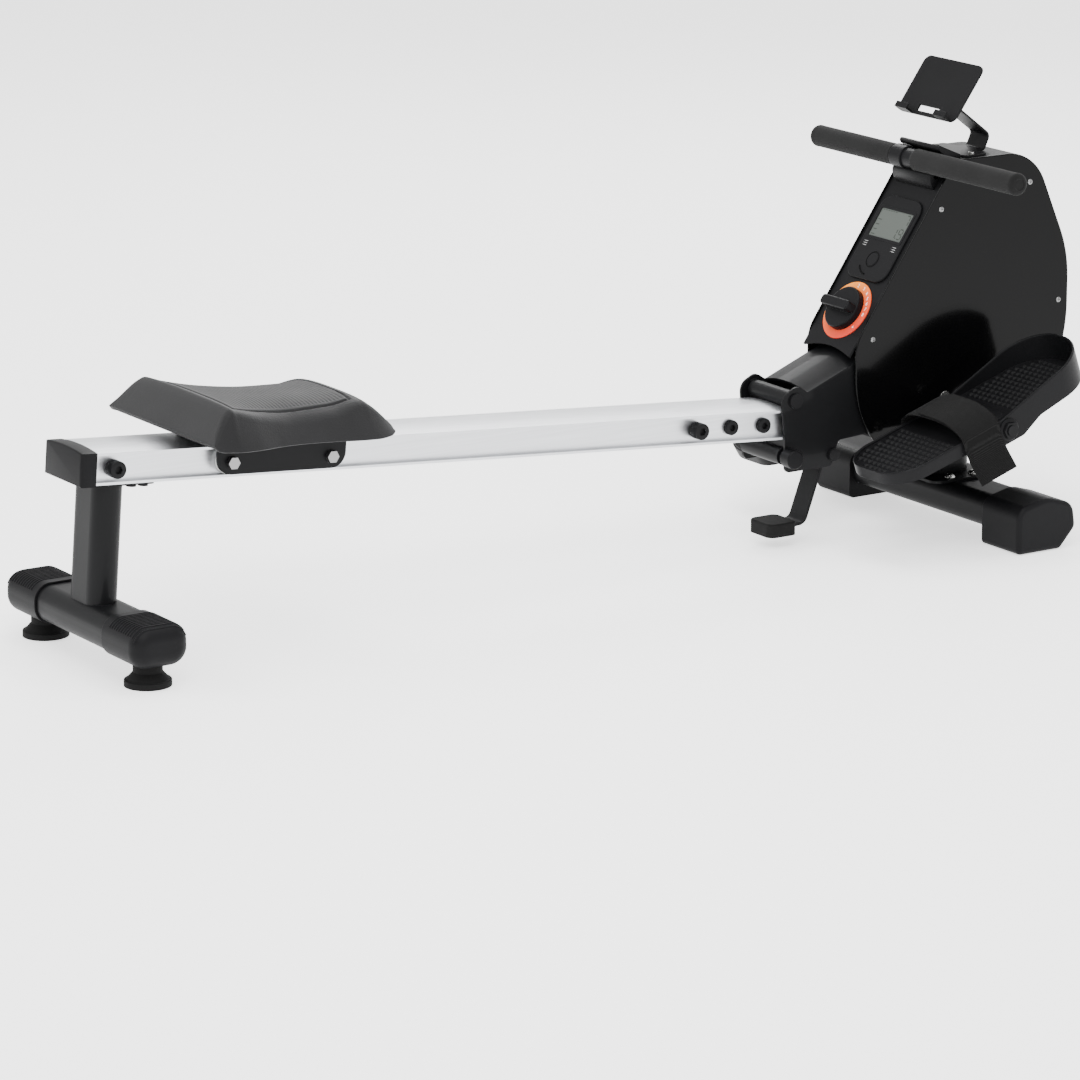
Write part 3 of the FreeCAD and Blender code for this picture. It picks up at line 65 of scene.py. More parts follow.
# ---------------------------------------------------------------- camera, floor and light
def camera():
    """One fixed line of sight; the machine lies left of and below the middle of the picture."""
    azimuth = math.radians(33.945)
    elevation = math.radians(12.188)
    distance = 7.150
    aim = Vector((0.0823, 0.0, 0.350))
    level = math.cos(elevation)
    ahead = Vector((math.sin(azimuth) * level, math.cos(azimuth) * level, -math.sin(elevation)))
    data = bpy.data.cameras.new("camera")
    data.lens = 167.8
    data.sensor_width = 36.0
    data.clip_end = 60.0
    data.shift_x = -0.0843
    data.shift_y = -0.1941
    eye = linked("camera", data)
    turn = ahead.to_track_quat("-Z", "Y").to_matrix().to_4x4()
    roll = Matrix.Rotation(math.radians(0.208), 4, "Z")
    eye.matrix_world = Matrix.Translation(aim - ahead * distance) @ turn @ roll
    bpy.context.scene.camera = eye


def floor():
    """Pale ground just under the feet; it is partly self-lit, to come near the photo's white."""
    half = 14.0
    drop = 0.4 * MM
    plane = mesh_object("floor", [(x * half, y * half, 0) for x, y in CORNERS], [(0, 1, 2, 3)])
    plane.location.z = -drop
    paint = material("floor_paint", (0.9, 0.9, 0.9), 0.55, grain=(3.0, 0.02, 0.0))
    glow = paint.node_tree.nodes["Principled BSDF"]
    glow.inputs["Emission Color"].default_value = (1.0, 1.0, 1.0, 1)
    glow.inputs["Emission Strength"].default_value = 1.25
    plane.data.materials.append(paint)


def area_light(name, place, target, size, power):
    """Rectangular lamp of a size in metres and a power in watts, turned to its target."""
    data = bpy.data.lights.new(name, "AREA")
    data.shape = "RECTANGLE"
    data.size, data.size_y = size
    data.energy = power
    lamp = linked(name, data)
    lamp.location = place
    lamp.rotation_mode = "QUATERNION"
    lamp.rotation_quaternion = (Vector(target) - Vector(place)).to_track_quat("-Z", "Y")


def lights():
    """Bright even surroundings, a soft key from the left and three weaker lamps."""
    world = bpy.data.worlds.new("studio")
    world.use_nodes = True
    sky = world.node_tree.nodes["Background"]
    sky.inputs["Color"].default_value = (1.0, 1.0, 1.0, 1)
    sky.inputs["Strength"].default_value = 1.45
    bpy.context.scene.world = world
    middle = (0.0, 0.0, 0.3)
    area_light("key", (-1.8, -2.4, 3.2), middle, (2.4, 1.6), 120)
    area_light("fill", (-3.4, 1.6, 2.0), middle, (2.0, 2.0), 45)
    area_light("rim", (2.4, 2.8, 2.6), middle, (2.6, 1.2), 80)
    area_light("top", (0.2, 0.0, 3.6), middle, (3.2, 1.4), 90)


# ---------------------------------------------------------------- mesh helpers
def linked(name, data):
    """New object in the scene for a mesh, curve, light or camera."""
    made = bpy.data.objects.new(name, data)
    bpy.context.scene.collection.objects.link(made)
    return made


def mesh_object(name, points, faces):
    mesh = bpy.data.meshes.new(name)
    mesh.from_pydata([tuple(p) for p in points], [], faces)
    mesh.validate()
    return linked(name, mesh)


def bm_object(name, bm):
    mesh = bpy.data.meshes.new(name)
    bm.normal_update()
    bm.to_mesh(mesh)
    bm.free()
    return linked(name, mesh)


def baked(obj):
    """obj with its modifiers, or its curve, turned into a plain mesh."""
    bpy.context.view_layer.update()
    graph = bpy.context.evaluated_depsgraph_get()
    mesh = bpy.data.meshes.new_from_object(obj.evaluated_get(graph))
    name = obj.name
    place = obj.matrix_world.copy()
    bpy.data.objects.remove(obj)
    mesh.name = name
    mesh.transform(place)
    return linked(name, mesh)


def standing(place, axis):
    """Matrix that stands local +Z along axis, at place."""
    turn = UP.rotation_difference(Vector(axis)).to_matrix().to_4x4()
    return Matrix.Translation(place) @ turn


def joined(name, pieces):
    """Several mesh objects as one."""
    bm = bmesh.new()
    for piece in pieces:
        piece.data.transform(piece.matrix_world)
        bm.from_mesh(piece.data)
        bpy.data.objects.remove(piece)
    return bm_object(name, bm)


def smooth_by_angle(obj, degrees):
    """Smooth shading, with a sharp line where the faces meet at more than degrees."""
    obj.data.shade_smooth()
    bm = bmesh.new()
    bm.from_mesh(obj.data)
    limit = math.radians(degrees)
    for edge in bm.edges:
        edge.smooth = len(edge.link_faces) == 2 and edge.calc_face_angle(0.0) < limit
    bm.to_mesh(obj.data)
    bm.free()
    return obj


def loft(name, rings):
    """Closed skin over rings of equally many points, with a face over each end."""
    count = len(rings[0])
    points = [p for ring in rings for p in ring]
    faces = []
    for i in range(len(rings) - 1):
        for k in range(count):
            a = i * count + k
            b = i * count + (k + 1) % count
            faces.append((a, b, b + count, a + count))
    faces.append(tuple(range(count))[::-1])
    faces.append(tuple((len(rings) - 1) * count + k for k in range(count)))
    made = mesh_object(name, points, faces)
    bm = bmesh.new()
    bm.from_mesh(made.data)
    bmesh.ops.recalc_face_normals(bm, faces=bm.faces)
    bm.to_mesh(made.data)
    bm.free()
    return made


def lathe(name, profile, place, axis, sides=48):
    """Turned piece: profile is (distance along the axis, radius) from one end to the other."""
    least = 1e-5
    rings = []
    for along, radius in profile:
        rings.append([(x, y, along) for x, y in circle(max(radius, least), sides)])
    made = loft(name, rings)
    made.data.transform(standing(place, axis))
    return smooth_by_angle(made, 40.0)


def plate(name, outline, holes, thick, bevel, place):
    """Flat plate from a 2-D outline with holes; its top is beveled. place maps local XY and Z."""
    curve = bpy.data.curves.new(name, "CURVE")
    curve.dimensions = "2D"
    curve.fill_mode = "BOTH"
    curve.extrude = thick / 2
    curve.bevel_depth = bevel
    curve.bevel_resolution = 2
    curve.offset = -bevel
    for loop in [outline] + holes:
        spline = curve.splines.new("POLY")
        spline.points.add(len(loop) - 1)
        for point, (x, y) in zip(spline.points, loop):
            point.co = (x, y, 0, 1)
        spline.use_cyclic_u = True
    obj = linked(name, curve)
    obj.matrix_world = place
    return smooth_by_angle(baked(obj), 50.0)


def tube(name, path, radius, cyclic=False, sides=3):
    """Round bead along a path of points."""
    curve = bpy.data.curves.new(name, "CURVE")
    curve.dimensions = "3D"
    curve.bevel_depth = radius
    curve.bevel_resolution = sides
    curve.use_fill_caps = True
    spline = curve.splines.new("POLY")
    spline.points.add(len(path) - 1)
    for point, p in zip(spline.points, path):
        point.co = (*p, 1)
    spline.use_cyclic_u = cyclic
    made = baked(linked(name, curve))
    made.data.shade_smooth()
    return made


def circle(radius, count=32):
    """Corners of a regular polygon."""
    points = []
    for k in range(count):
        angle = 2 * math.pi * k / count
        points.append((radius * math.cos(angle), radius * math.sin(angle)))
    return points


def rounded_rectangle(x0, x1, y0, y1, radius):
    count = 6
    points = []
    corners = [(x1, y1, 0), (x0, y1, 90), (x0, y0, 180), (x1, y0, 270)]
    for x, y, start in corners:
        cx = x - math.copysign(radius, x - (x0 + x1) / 2)
        cy = y - math.copysign(radius, y - (y0 + y1) / 2)
        for k in range(count + 1):
            angle = math.radians(start + 90 * k / count)
            points.append((cx + radius * math.cos(angle), cy + radius * math.sin(angle)))
    return points


def cross_shape(reach, half):
    """Outline of a cross with arms out to reach, each twice half wide."""
    return [(reach, half), (half, half), (half, reach), (-half, reach), (-half, half), (-reach, half),
            (-reach, -half), (-half, -half), (-half, -reach), (half, -reach), (half, -half), (reach, -half)]


def solids(node):
    """Lowest and highest corner of each separate solid of a CAD node."""
    mesh = nodes[node].data
    group = {}
    owner = []
    for vertex in mesh.vertices:
        key = tuple(round(c, 6) for c in vertex.co)
        owner.append(group.setdefault(key, len(group)))
    parent = list(range(len(group)))

    def root(a):
        while parent[a] != a:
            parent[a] = parent[parent[a]]
            a = parent[a]
        return a

    for edge in mesh.edges:
        a, b = edge.vertices
        parent[root(owner[a])] = root(owner[b])
    boxes = {}
    for vertex in mesh.vertices:
        key = root(owner[vertex.index])
        low, high = boxes.setdefault(key, (vertex.co.copy(), vertex.co.copy()))
        for axis in range(3):
            low[axis] = min(low[axis], vertex.co[axis])
            high[axis] = max(high[axis], vertex.co[axis])
    return sorted(boxes.values(), key=lambda box: tuple(round(c, 4) for c in box[0]))


def settle(piece, body, slot, paint, *stands_for):
    """Finishes one piece: its material, its body and the CAD nodes it stands for (slot is not used)."""
    piece.data.materials.clear()
    piece.data.materials.append(paint)
    if stands_for:
        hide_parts(*stands_for)
    if body:
        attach(piece, body)
    return piece


# ---------------------------------------------------------------- materials
def add_node(tree, kind, inputs=None, **settings):
    """New shader node with its settings and the values of its unlinked inputs."""
    node = tree.nodes.new(kind)
    for key, value in settings.items():
        setattr(node, key, value)
    for key, value in (inputs or {}).items():
        node.inputs[key].default_value = value
    return node


def material(name, color, rough, metal=0.0, grain=(600.0, 0.0, 0.0), vary=0.0, rough_vary=0.0,
             coat=0.0, stretch=(1, 1, 1), edge=0.0, sheen=0.0, pattern="noise"):
    """Principled material with a fine bump, uneven colour and uneven gloss.

    grain is (scale, bump strength, bump height in mm); edge is the mm by which edges look worn round."""
    made = bpy.data.materials.new(name)
    made.use_nodes = True
    tree = made.node_tree
    shader = tree.nodes["Principled BSDF"]
    basics = {"Base Color": (*color, 1), "Roughness": rough, "Metallic": metal, "Coat Weight": coat,
              "Coat Roughness": 0.06, "Sheen Weight": sheen, "Specular IOR Level": 0.5 if metal else 0.08}
    for key, value in basics.items():
        shader.inputs[key].default_value = value
    join = tree.links.new
    where = add_node(tree, "ShaderNodeTexCoord")
    mapping = add_node(tree, "ShaderNodeMapping", {"Scale": stretch})
    join(where.outputs["Object"], mapping.inputs["Vector"])
    if vary or rough_vary:
        cloud = add_node(tree, "ShaderNodeTexNoise", {"Scale": 9.0, "Detail": 6.0})
        join(mapping.outputs["Vector"], cloud.inputs["Vector"])
    if vary:
        ramp = add_node(tree, "ShaderNodeValToRGB")
        first, last = ramp.color_ramp.elements
        first.color = (*color, 1)
        last.color = (*(min(1.0, c * (1 + vary)) for c in color), 1)
        first.position = 0.35
        last.position = 0.65
        join(cloud.outputs["Fac"], ramp.inputs["Fac"])
        join(ramp.outputs["Color"], shader.inputs["Base Color"])
    if rough_vary:
        gloss = {"To Min": max(0.02, rough - rough_vary), "To Max": min(1.0, rough + rough_vary)}
        spread = add_node(tree, "ShaderNodeMapRange", gloss)
        join(cloud.outputs["Fac"], spread.inputs["Value"])
        join(spread.outputs["Result"], shader.inputs["Roughness"])
    normal = None
    if edge:
        normal = add_node(tree, "ShaderNodeBevel", {"Radius": edge * MM}, samples=4).outputs["Normal"]
    scale, strength, height = grain
    if strength and height:
        if pattern == "noise":
            fine = add_node(tree, "ShaderNodeTexNoise", {"Scale": scale, "Detail": 4.0, "Roughness": 0.6})
            value = fine.outputs["Fac"]
        else:
            fine = add_node(tree, "ShaderNodeTexVoronoi", {"Scale": scale})
            value = fine.outputs["Distance"]
        join(mapping.outputs["Vector"], fine.inputs["Vector"])
        bump = add_node(tree, "ShaderNodeBump", {"Strength": strength, "Distance": height * MM})
        join(value, bump.inputs["Height"])
        if normal:
            join(normal, bump.inputs["Normal"])
        normal = bump.outputs["Normal"]
    if normal:
        join(normal, shader.inputs["Normal"])
    return made


def weave(name, color, along, scale):
    """Woven webbing: two crossed wave patterns, the ribs running across `along`."""
    made = material(name, color, 0.86, vary=0.5, rough_vary=0.08, sheen=0.04)
    tree = made.node_tree
    where = add_node(tree, "ShaderNodeTexCoord")
    mix = add_node(tree, "ShaderNodeMath", operation="MULTIPLY")
    for number, (direction, size) in enumerate((("Y", scale), (along, scale * 0.9))):
        wave = add_node(tree, "ShaderNodeTexWave", {"Scale": size, "Distortion": 0.6, "Detail": 1.0},
                        wave_type="BANDS", bands_direction=direction)
        tree.links.new(where.outputs["Object"], wave.inputs["Vector"])
        tree.links.new(wave.outputs["Fac"], mix.inputs[number])
    bump = add_node(tree, "ShaderNodeBump", {"Strength": 0.9, "Distance": 0.7 * MM})
    tree.links.new(mix.outputs["Value"], bump.inputs["Height"])
    tree.links.new(bump.outputs["Normal"], tree.nodes["Principled BSDF"].inputs["Normal"])
    return made


def dial_paint():
    """Orange at the upper left of the dial, running to red at its foot."""
    made = material("dial_print", (0.9, 0.3, 0.05), 0.42, grain=(900.0, 0.2, 0.1))
    tree = made.node_tree
    low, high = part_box("dial_ring")
    radius = (high.y - low.y) / 2
    towards = (UPSLOPE * 0.75 + ACROSS * 0.66).normalized()
    where = add_node(tree, "ShaderNodeTexCoord")
    shift = add_node(tree, "ShaderNodeVectorMath", {1: (low + high) / 2}, operation="SUBTRACT")
    dot = add_node(tree, "ShaderNodeVectorMath", {1: towards / radius}, operation="DOT_PRODUCT")
    spread = add_node(tree, "ShaderNodeMapRange", {"From Min": -0.9, "From Max": 0.9})
    ramp = add_node(tree, "ShaderNodeValToRGB")
    stops = ramp.color_ramp.elements
    stops[0].color = (0.62, 0.045, 0.025, 1)
    stops[1].color = (0.85, 0.27, 0.03, 1)
    stops.new(0.5).color = (0.74, 0.10, 0.025, 1)
    tree.links.new(where.outputs["Object"], shift.inputs[0])
    tree.links.new(shift.outputs["Vector"], dot.inputs[0])
    tree.links.new(dot.outputs["Value"], spread.inputs["Value"])
    tree.links.new(spread.outputs["Result"], ramp.inputs["Fac"])
    tree.links.new(ramp.outputs["Color"], tree.nodes["Principled BSDF"].inputs["Base Color"])
    return made


# ---------------------------------------------------------------- the machine's own frames
CONSOLE = Vector((0.441334, 0, 0.308))
CONSOLE_TOP = Vector((0.610334, 0, 0.553))
UPSLOPE = (CONSOLE_TOP - CONSOLE).normalized()
OUTWARD = ACROSS.cross(UPSLOPE) * -1
# the rail: its front end, and its directions, sloping down to the front
RAIL_FRONT = Vector((0.320534, 0, 0.1697))
RAIL_TILT = math.radians(4.23)
ALONG_RAIL = Vector((math.cos(RAIL_TILT), 0, -math.sin(RAIL_TILT)))
OFF_RAIL = Vector((math.sin(RAIL_TILT), 0, math.cos(RAIL_TILT)))
AXLE = Vector((0.582334, 0, 0.187))
PEDAL_TILT = {-1: math.radians(18.5), 1: math.radians(31.5)}
# footrest, in mm: middle, half width, ends from the axle, corner rounds, floor of the tread
PEDAL_CENTRE = 162.0
PEDAL_HALF = 72.0
PEDAL_TOE = 178.0
PEDAL_TOE_ROUND = 67.0
PEDAL_HEEL = -202.0
PEDAL_HEEL_ROUND = 52.0
PEDAL_FLOOR = 13.8
# console, in mm up its slope
DIAL_U = 35.0
BUTTON_U = 119.0
LCD_U = 177.0


def console_at(u, y, w):
    """Point u up the console's slope, y across and w out of it, in mm."""
    return CONSOLE + UPSLOPE * (u * MM) + ACROSS * (y * MM) + OUTWARD * (w * MM)


def console_frame(u, y, w):
    """Matrix with local X across to the rower's right, local Y up the slope, local Z outward."""
    turn = Matrix((-ACROSS, UPSLOPE, OUTWARD)).transposed().to_4x4()
    return Matrix.Translation(console_at(u, y, w)) @ turn


def rail_at(x, y, z):
    """Point x along the rail (rearward is negative), y across and z up from its underside, in mm."""
    return RAIL_FRONT + ALONG_RAIL * (x * MM) + ACROSS * (y * MM) + OFF_RAIL * (z * MM)


def pedal_at(side, u, y, w):
    """side -1 is the rower's right (near) pedal, +1 the left. y runs outward from the middle plane."""
    angle = PEDAL_TILT[side]
    along = Vector((math.cos(angle), 0, math.sin(angle)))
    up = Vector((-math.sin(angle), 0, math.cos(angle)))
    return AXLE + along * (u * MM) + ACROSS * (side * y * MM) + up * (w * MM)


# ---------------------------------------------------------------- finishes
def finishes():
    """One material for each slot of the record, and a few for screws and prints."""
    made = {}

    def add(name, color, rough, **more):
        made[name] = material(name, color, rough, **more)

    add("cover_gloss", (0.0012, 0.0012, 0.0013), 0.14, coat=0.05, vary=0.25, rough_vary=0.04,
        grain=(260.0, 0.06, 0.2), edge=1.2)
    add("housing_plastic", (0.0035, 0.0035, 0.0038), 0.44, vary=0.4, rough_vary=0.07,
        grain=(1500.0, 0.35, 0.12), edge=1.2)
    add("console_plastic", (0.0042, 0.0042, 0.0046), 0.46, vary=0.35, rough_vary=0.06,
        grain=(1900.0, 0.4, 0.12), edge=0.8)
    add("frame_paint", (0.0035, 0.0036, 0.004), 0.47, vary=0.3, rough_vary=0.07, grain=(900.0, 0.22, 0.1),
        coat=0.06, edge=1.0)
    add("rail_aluminium", (0.60, 0.61, 0.63), 0.36, metal=1.0, vary=0.12, rough_vary=0.06,
        grain=(60.0, 0.16, 0.05), stretch=(0.6, 30, 30), edge=0.4)
    add("zinc_steel", (0.62, 0.62, 0.6), 0.28, metal=1.0, vary=0.15, rough_vary=0.08,
        grain=(700.0, 0.15, 0.05), edge=0.4)
    add("black_steel", (0.006, 0.006, 0.0065), 0.38, vary=0.3, rough_vary=0.08,
        grain=(900.0, 0.2, 0.06), edge=0.4)
    add("rubber", (0.006, 0.006, 0.006), 0.72, vary=0.3, rough_vary=0.08, grain=(1200.0, 0.4, 0.2),
        edge=0.8)
    add("cap_plastic", (0.0045, 0.0045, 0.005), 0.5, vary=0.4, rough_vary=0.08, grain=(1300.0, 0.4, 0.16),
        edge=1.4)
    add("grip_foam", (0.007, 0.007, 0.007), 0.9, vary=0.5, rough_vary=0.06, grain=(1100.0, 0.5, 0.25),
        sheen=0.05, pattern="cells")
    add("seat_foam", (0.0085, 0.0085, 0.009), 0.55, vary=0.3, rough_vary=0.08, grain=(420.0, 0.55, 0.4),
        sheen=0.1, pattern="cells")
    add("pedal_plastic", (0.0055, 0.0055, 0.006), 0.4, vary=0.4, rough_vary=0.08,
        grain=(1200.0, 0.35, 0.14), edge=0.9)
    made["webbing"] = weave("webbing", (0.0025, 0.0025, 0.0025), "X", 330.0)
    add("roller_plastic", (0.72, 0.72, 0.70), 0.38, vary=0.08, rough_vary=0.06, grain=(800.0, 0.2, 0.08),
        edge=0.5)
    add("knob_plastic", (0.004, 0.004, 0.0045), 0.4, vary=0.3, rough_vary=0.06, grain=(1400.0, 0.3, 0.12),
        edge=1.0)
    made["dial_print"] = dial_paint()
    add("lcd", (0.065, 0.073, 0.066), 0.3, vary=0.06, rough_vary=0.03, grain=(300.0, 0.04, 0.05),
        coat=0.15)
    add("flywheel_iron", (0.16, 0.16, 0.17), 0.4, metal=0.9, vary=0.2, rough_vary=0.08,
        grain=(500.0, 0.3, 0.1))
    add("belt_rubber", (0.015, 0.015, 0.015), 0.7, vary=0.3, rough_vary=0.06, grain=(900.0, 0.4, 0.15))
    add("drive_plastic", (0.05, 0.05, 0.052), 0.5, vary=0.2, rough_vary=0.06, grain=(900.0, 0.3, 0.1))
    add("spring_steel", (0.3, 0.3, 0.31), 0.34, metal=1.0, vary=0.2, rough_vary=0.06,
        grain=(700.0, 0.2, 0.05))
    add("screw_steel", (0.22, 0.22, 0.22), 0.35, metal=1.0, vary=0.2, rough_vary=0.08,
        grain=(700.0, 0.15, 0.05), edge=0.3)
    add("print_grey", (0.3, 0.3, 0.3), 0.5, vary=0.1, rough_vary=0.05, grain=(900.0, 0.1, 0.03))
    add("print_white", (0.86, 0.86, 0.86), 0.5, vary=0.05, rough_vary=0.05, grain=(900.0, 0.1, 0.03))
    add("lcd_ink", (0.03, 0.035, 0.03), 0.5, vary=0.1, rough_vary=0.05, grain=(900.0, 0.1, 0.03))
    # painted shade: near-black for the beads that stand for the shade inside the console's gaps and slot
    add("gap_shadow", (0.002, 0.002, 0.002), 0.9, vary=0.2, rough_vary=0.05, grain=(900.0, 0.2, 0.05))
    return made


def dress(paints):
    """Every CAD node gets its slot's finish, apart from two that are darker in the photo."""
    given = {part["node"]: part["material_slot"] for part in frame["record"]["subparts"]}
    given["pedal_axle_nuts"] = "black_steel"
    given["carriage_bolts"] = "screw_steel"
    for name, node in nodes.items():
        node.data.materials.clear()
        node.data.materials.append(paints[given[name]])


# ---------------------------------------------------------------- seat
def seat():
    """Moulded seat: a wide sloping rear, a waist, a saddle top with a ribbed insert and steep sides.

    The lines are (x from the seat's middle, height above the rail or half width), all in mm."""
    middle = -848.0
    carriage_top = 61.4
    roundness = 9.0
    top_line = ((-156, 67), (-148, 79), (-126, 107), (-119, 111), (-110, 109), (-60, 105.5),
                (0, 104.0), (50, 104.5), (96, 106), (106, 105), (118, 98), (140, 79), (149, 69),
                (152, 63))
    edge_drop = ((-156, 1), (-120, 3), (-60, 14), (-10, 20), (60, 16), (100, 5), (152, 1))
    low_line = ((-156, 63), (-150, 58), (-140, 56), (-100, 55), (110, 55), (140, 57), (152, 60))
    wide_low = ((-156, 148), (-150, 151), (-120, 152), (-85, 146), (-40, 131), (0, 124), (45, 122),
                (85, 124), (112, 122), (135, 115), (148, 105), (152, 98))
    wide_top = ((-156, 146), (-121, 124), (-85, 118), (-40, 107), (0, 101), (45, 98), (80, 92), (105, 86),
                (130, 90), (152, 93))
    step = 1.5
    stations = [-156.0, -155.0] + [-153.5 + step * k for k in range(203)] + [151.5, 152.0]
    columns = 150
    rings = []
    for x in stations:
        high = spline(top_line, x)
        low = spline(low_line, x)
        low_half = spline(wide_low, x)
        top_half = min(spline(wide_top, x), low_half - 1.0)
        drop = spline(edge_drop, x)
        edge = max(high - drop, low + 2.0)
        turn = min(roundness, 0.45 * (edge - low))
        wall = Vector((low_half - top_half, low - edge)).normalized()
        section = []
        for k in range(columns + 1):
            y = (top_half - turn) * (-1 + 2 * k / columns)
            share = abs(y) / top_half
            section.append((y, high - (high - edge) * share ** 3 - insert_depth(x, y)))
        inner = high - (high - edge) * ((top_half - turn) / top_half) ** 3
        corner = Vector((top_half, edge))
        begin = Vector((top_half - turn, inner))
        end = corner + wall * turn
        side = []
        for k in range(1, 7):
            t = k / 6
            side.append(begin * (1 - t) ** 2 + corner * (2 * t * (1 - t)) + end * t ** 2)
        foot = Vector((low_half, low + 1.5))
        for k in range(1, 6):
            side.append(end + (foot - end) * (k / 5))
        side.append(Vector((low_half - 0.8, low + 0.4)))
        side.append(Vector((low_half - 2.5, low)))
        side.append(Vector((low_half - 8.0, low + 0.5)))
        base = min(carriage_top, high - 2.0)
        side.append(Vector((low_half - 16.0, base)))
        left = [(-p.x, p.y) for p in side]
        right = [(p.x, p.y) for p in side]
        under = [(low_half * share, base) for share in (0.6, 0.3, 0.0, -0.3, -0.6)]
        loop = section + right + under + left[::-1]
        rings.append([rail_at(middle + x, y, z) for y, z in loop])
    return smooth_by_angle(loft("seat_cushion", rings), 50)


def insert_depth(x, y):
    """Groove round the insert, and the fine ribs in it; the insert narrows towards the nose."""
    ahead, behind = 98.0, -108.0
    groove, groove_depth = 3.0, 2.4
    ribs_start, rib_depth, rib_pitch = 8.0, 0.55, 6.0
    if not behind - groove < x < ahead:
        return 0.0
    share = max(0.0, (x - behind) / (ahead - behind))
    edge = 104.0 - 22.0 * math.sin(min(1.0, share * 1.5) * math.pi / 2) - 12.0 * share ** 3
    inside = min(edge - abs(y), x - behind, ahead - x - 0.0012 * y * y)
    if inside < -groove:
        return 0.0
    if inside < groove:
        return groove_depth * math.cos(inside / groove * math.pi / 2)
    if inside < ribs_start:
        return 0.0
    return rib_depth * (0.5 + 0.5 * math.cos(x * 2 * math.pi / rib_pitch))


def spline(points, x):
    """Smooth curve through points (x rising)."""
    if x <= points[0][0]:
        return points[0][1]
    if x >= points[-1][0]:
        return points[-1][1]
    for i in range(len(points) - 1):
        if points[i][0] <= x <= points[i + 1][0]:
            break
    x0, y0 = points[i]
    x1, y1 = points[i + 1]

    def slope(j):
        if j <= 0 or j >= len(points) - 1:
            k = 0 if j <= 0 else len(points) - 2
            return (points[k + 1][1] - points[k][1]) / (points[k + 1][0] - points[k][0])
        left = (points[j][1] - points[j - 1][1]) / (points[j][0] - points[j - 1][0])
        right = (points[j + 1][1] - points[j][1]) / (points[j + 1][0] - points[j][0])
        return 0.0 if left * right <= 0 else 2 * left * right / (left + right)

    wide = x1 - x0
    t = (x - x0) / wide
    a, b = slope(i) * wide, slope(i + 1) * wide
    return ((2 * t ** 3 - 3 * t ** 2 + 1) * y0 + (t ** 3 - 2 * t ** 2 + t) * a
            + (-2 * t ** 3 + 3 * t ** 2) * y1 + (t ** 3 - t ** 2) * b)


# ---------------------------------------------------------------- fasteners
def socket_head(name, place, axis, profile, recess, sides, depth):
    """Turned head with a recess sunk in its top: sides 6 is a hex socket, sides 4 a cross."""
    head = lathe(name, profile, place, axis, 40)
    top = max(along for along, _ in profile)
    if sides == 4:
        outline = cross_shape(recess, recess * 0.2)
    else:
        outline = circle(recess, sides)
    rings = []
    for along in (top - depth, top + 1.0 * MM):
        rings.append([(x, y, along) for x, y in outline])
    tool = loft(name + "_tool", rings)
    tool.data.transform(standing(place, axis))
    cut = head.modifiers.new("recess", "BOOLEAN")
    cut.operation = "DIFFERENCE"
    cut.object = tool
    cut.solver = "EXACT"
    made = baked(head)
    bpy.data.objects.remove(tool)
    return smooth_by_angle(made, 32.0)


def dome(radius, height):
    """Profile of a domed head standing on its seat."""
    profile = [(0.0, radius)]
    for k in range(7):
        angle = math.radians(15 * k)
        profile.append((height * (0.35 + 0.65 * math.sin(angle)), radius * math.cos(angle) ** 0.5))
    profile[-1] = (height, 0.0)
    return profile


def cap_profile(radius, height, chamfer):
    return [(0.0, radius), (height - chamfer, radius), (height - chamfer * 0.3, radius - chamfer * 0.3),
            (height, radius - chamfer), (height, 0.0)]


def hex_nut(name, place, axis, across, height, bore):
    """Hexagonal nut with chamfered corners and a threaded hole in the middle."""
    bm = bmesh.new()
    outline = circle(across, 6)
    heights = [(0.0, 0.93), (height * 0.12, 1.0), (height * 0.88, 1.0), (height, 0.93)]
    rings = []
    for along, share in heights:
        rings.append([bm.verts.new((x * share, y * share, along)) for x, y in outline])
    hole = [bm.verts.new((x, y, height)) for x, y in circle(bore, 6)]
    deep = [bm.verts.new((x, y, height * 0.3)) for x, y in circle(bore, 6)]
    rings += [hole, deep]
    for lower, upper in zip(rings[:-1], rings[1:]):
        for k in range(6):
            bm.faces.new((lower[k], lower[(k + 1) % 6], upper[(k + 1) % 6], upper[k]))
    bm.faces.new(rings[0][::-1])
    bm.faces.new(deep)
    bmesh.ops.recalc_face_normals(bm, faces=bm.faces)
    made = bm_object(name, bm)
    made.data.transform(standing(place, axis))
    return made


def cover_screws(paints):
    """Bright pan heads with a cross recess, each in its own rimmed seat on the gloss covers."""
    heads = []
    radius, height = 4.3 * MM, 2.6 * MM
    sunk = 2.4 * MM
    recess, depth = 2.6 * MM, 1.6 * MM
    for number, (low, high) in enumerate(solids("cover_screws")):
        side = -1 if low.y + high.y < 0 else 1
        middle = (low + high) / 2
        face = low.y if side < 0 else high.y
        place = Vector((middle.x, face - side * sunk, middle.z))
        heads.append(socket_head(f"screw_{number}", place, (0, side, 0), dome(radius, height),
                                 recess, 4, depth))
    made = joined("cover_screw_heads", heads)
    settle(made, "frame", "zinc_steel", paints["screw_steel"], "cover_screws")


def rail_stops(paints):
    """Socket cap screws that stop the carriage, standing out of both flanks of the rail."""
    longest = 16 * MM
    chamfer = 1.2 * MM
    depth = 5 * MM
    pieces = []
    for number, (low, high) in enumerate(solids("rail_stop_bolts")):
        middle = (low + high) / 2
        radius = (high.x - low.x) / 2
        for side in (-1, 1):
            face = low.y if side < 0 else high.y
            length = min(high.y - low.y, longest)
            place = Vector((middle.x, face - side * length, middle.z))
            pieces.append(socket_head(f"stop_{number}_{side}", place, (0, side, 0),
                                      cap_profile(radius, length, chamfer), radius * 0.5, 6, depth))
    made = joined("rail_stop_screws", pieces)
    settle(made, "rail", "black_steel", paints["black_steel"], "rail_stop_bolts")


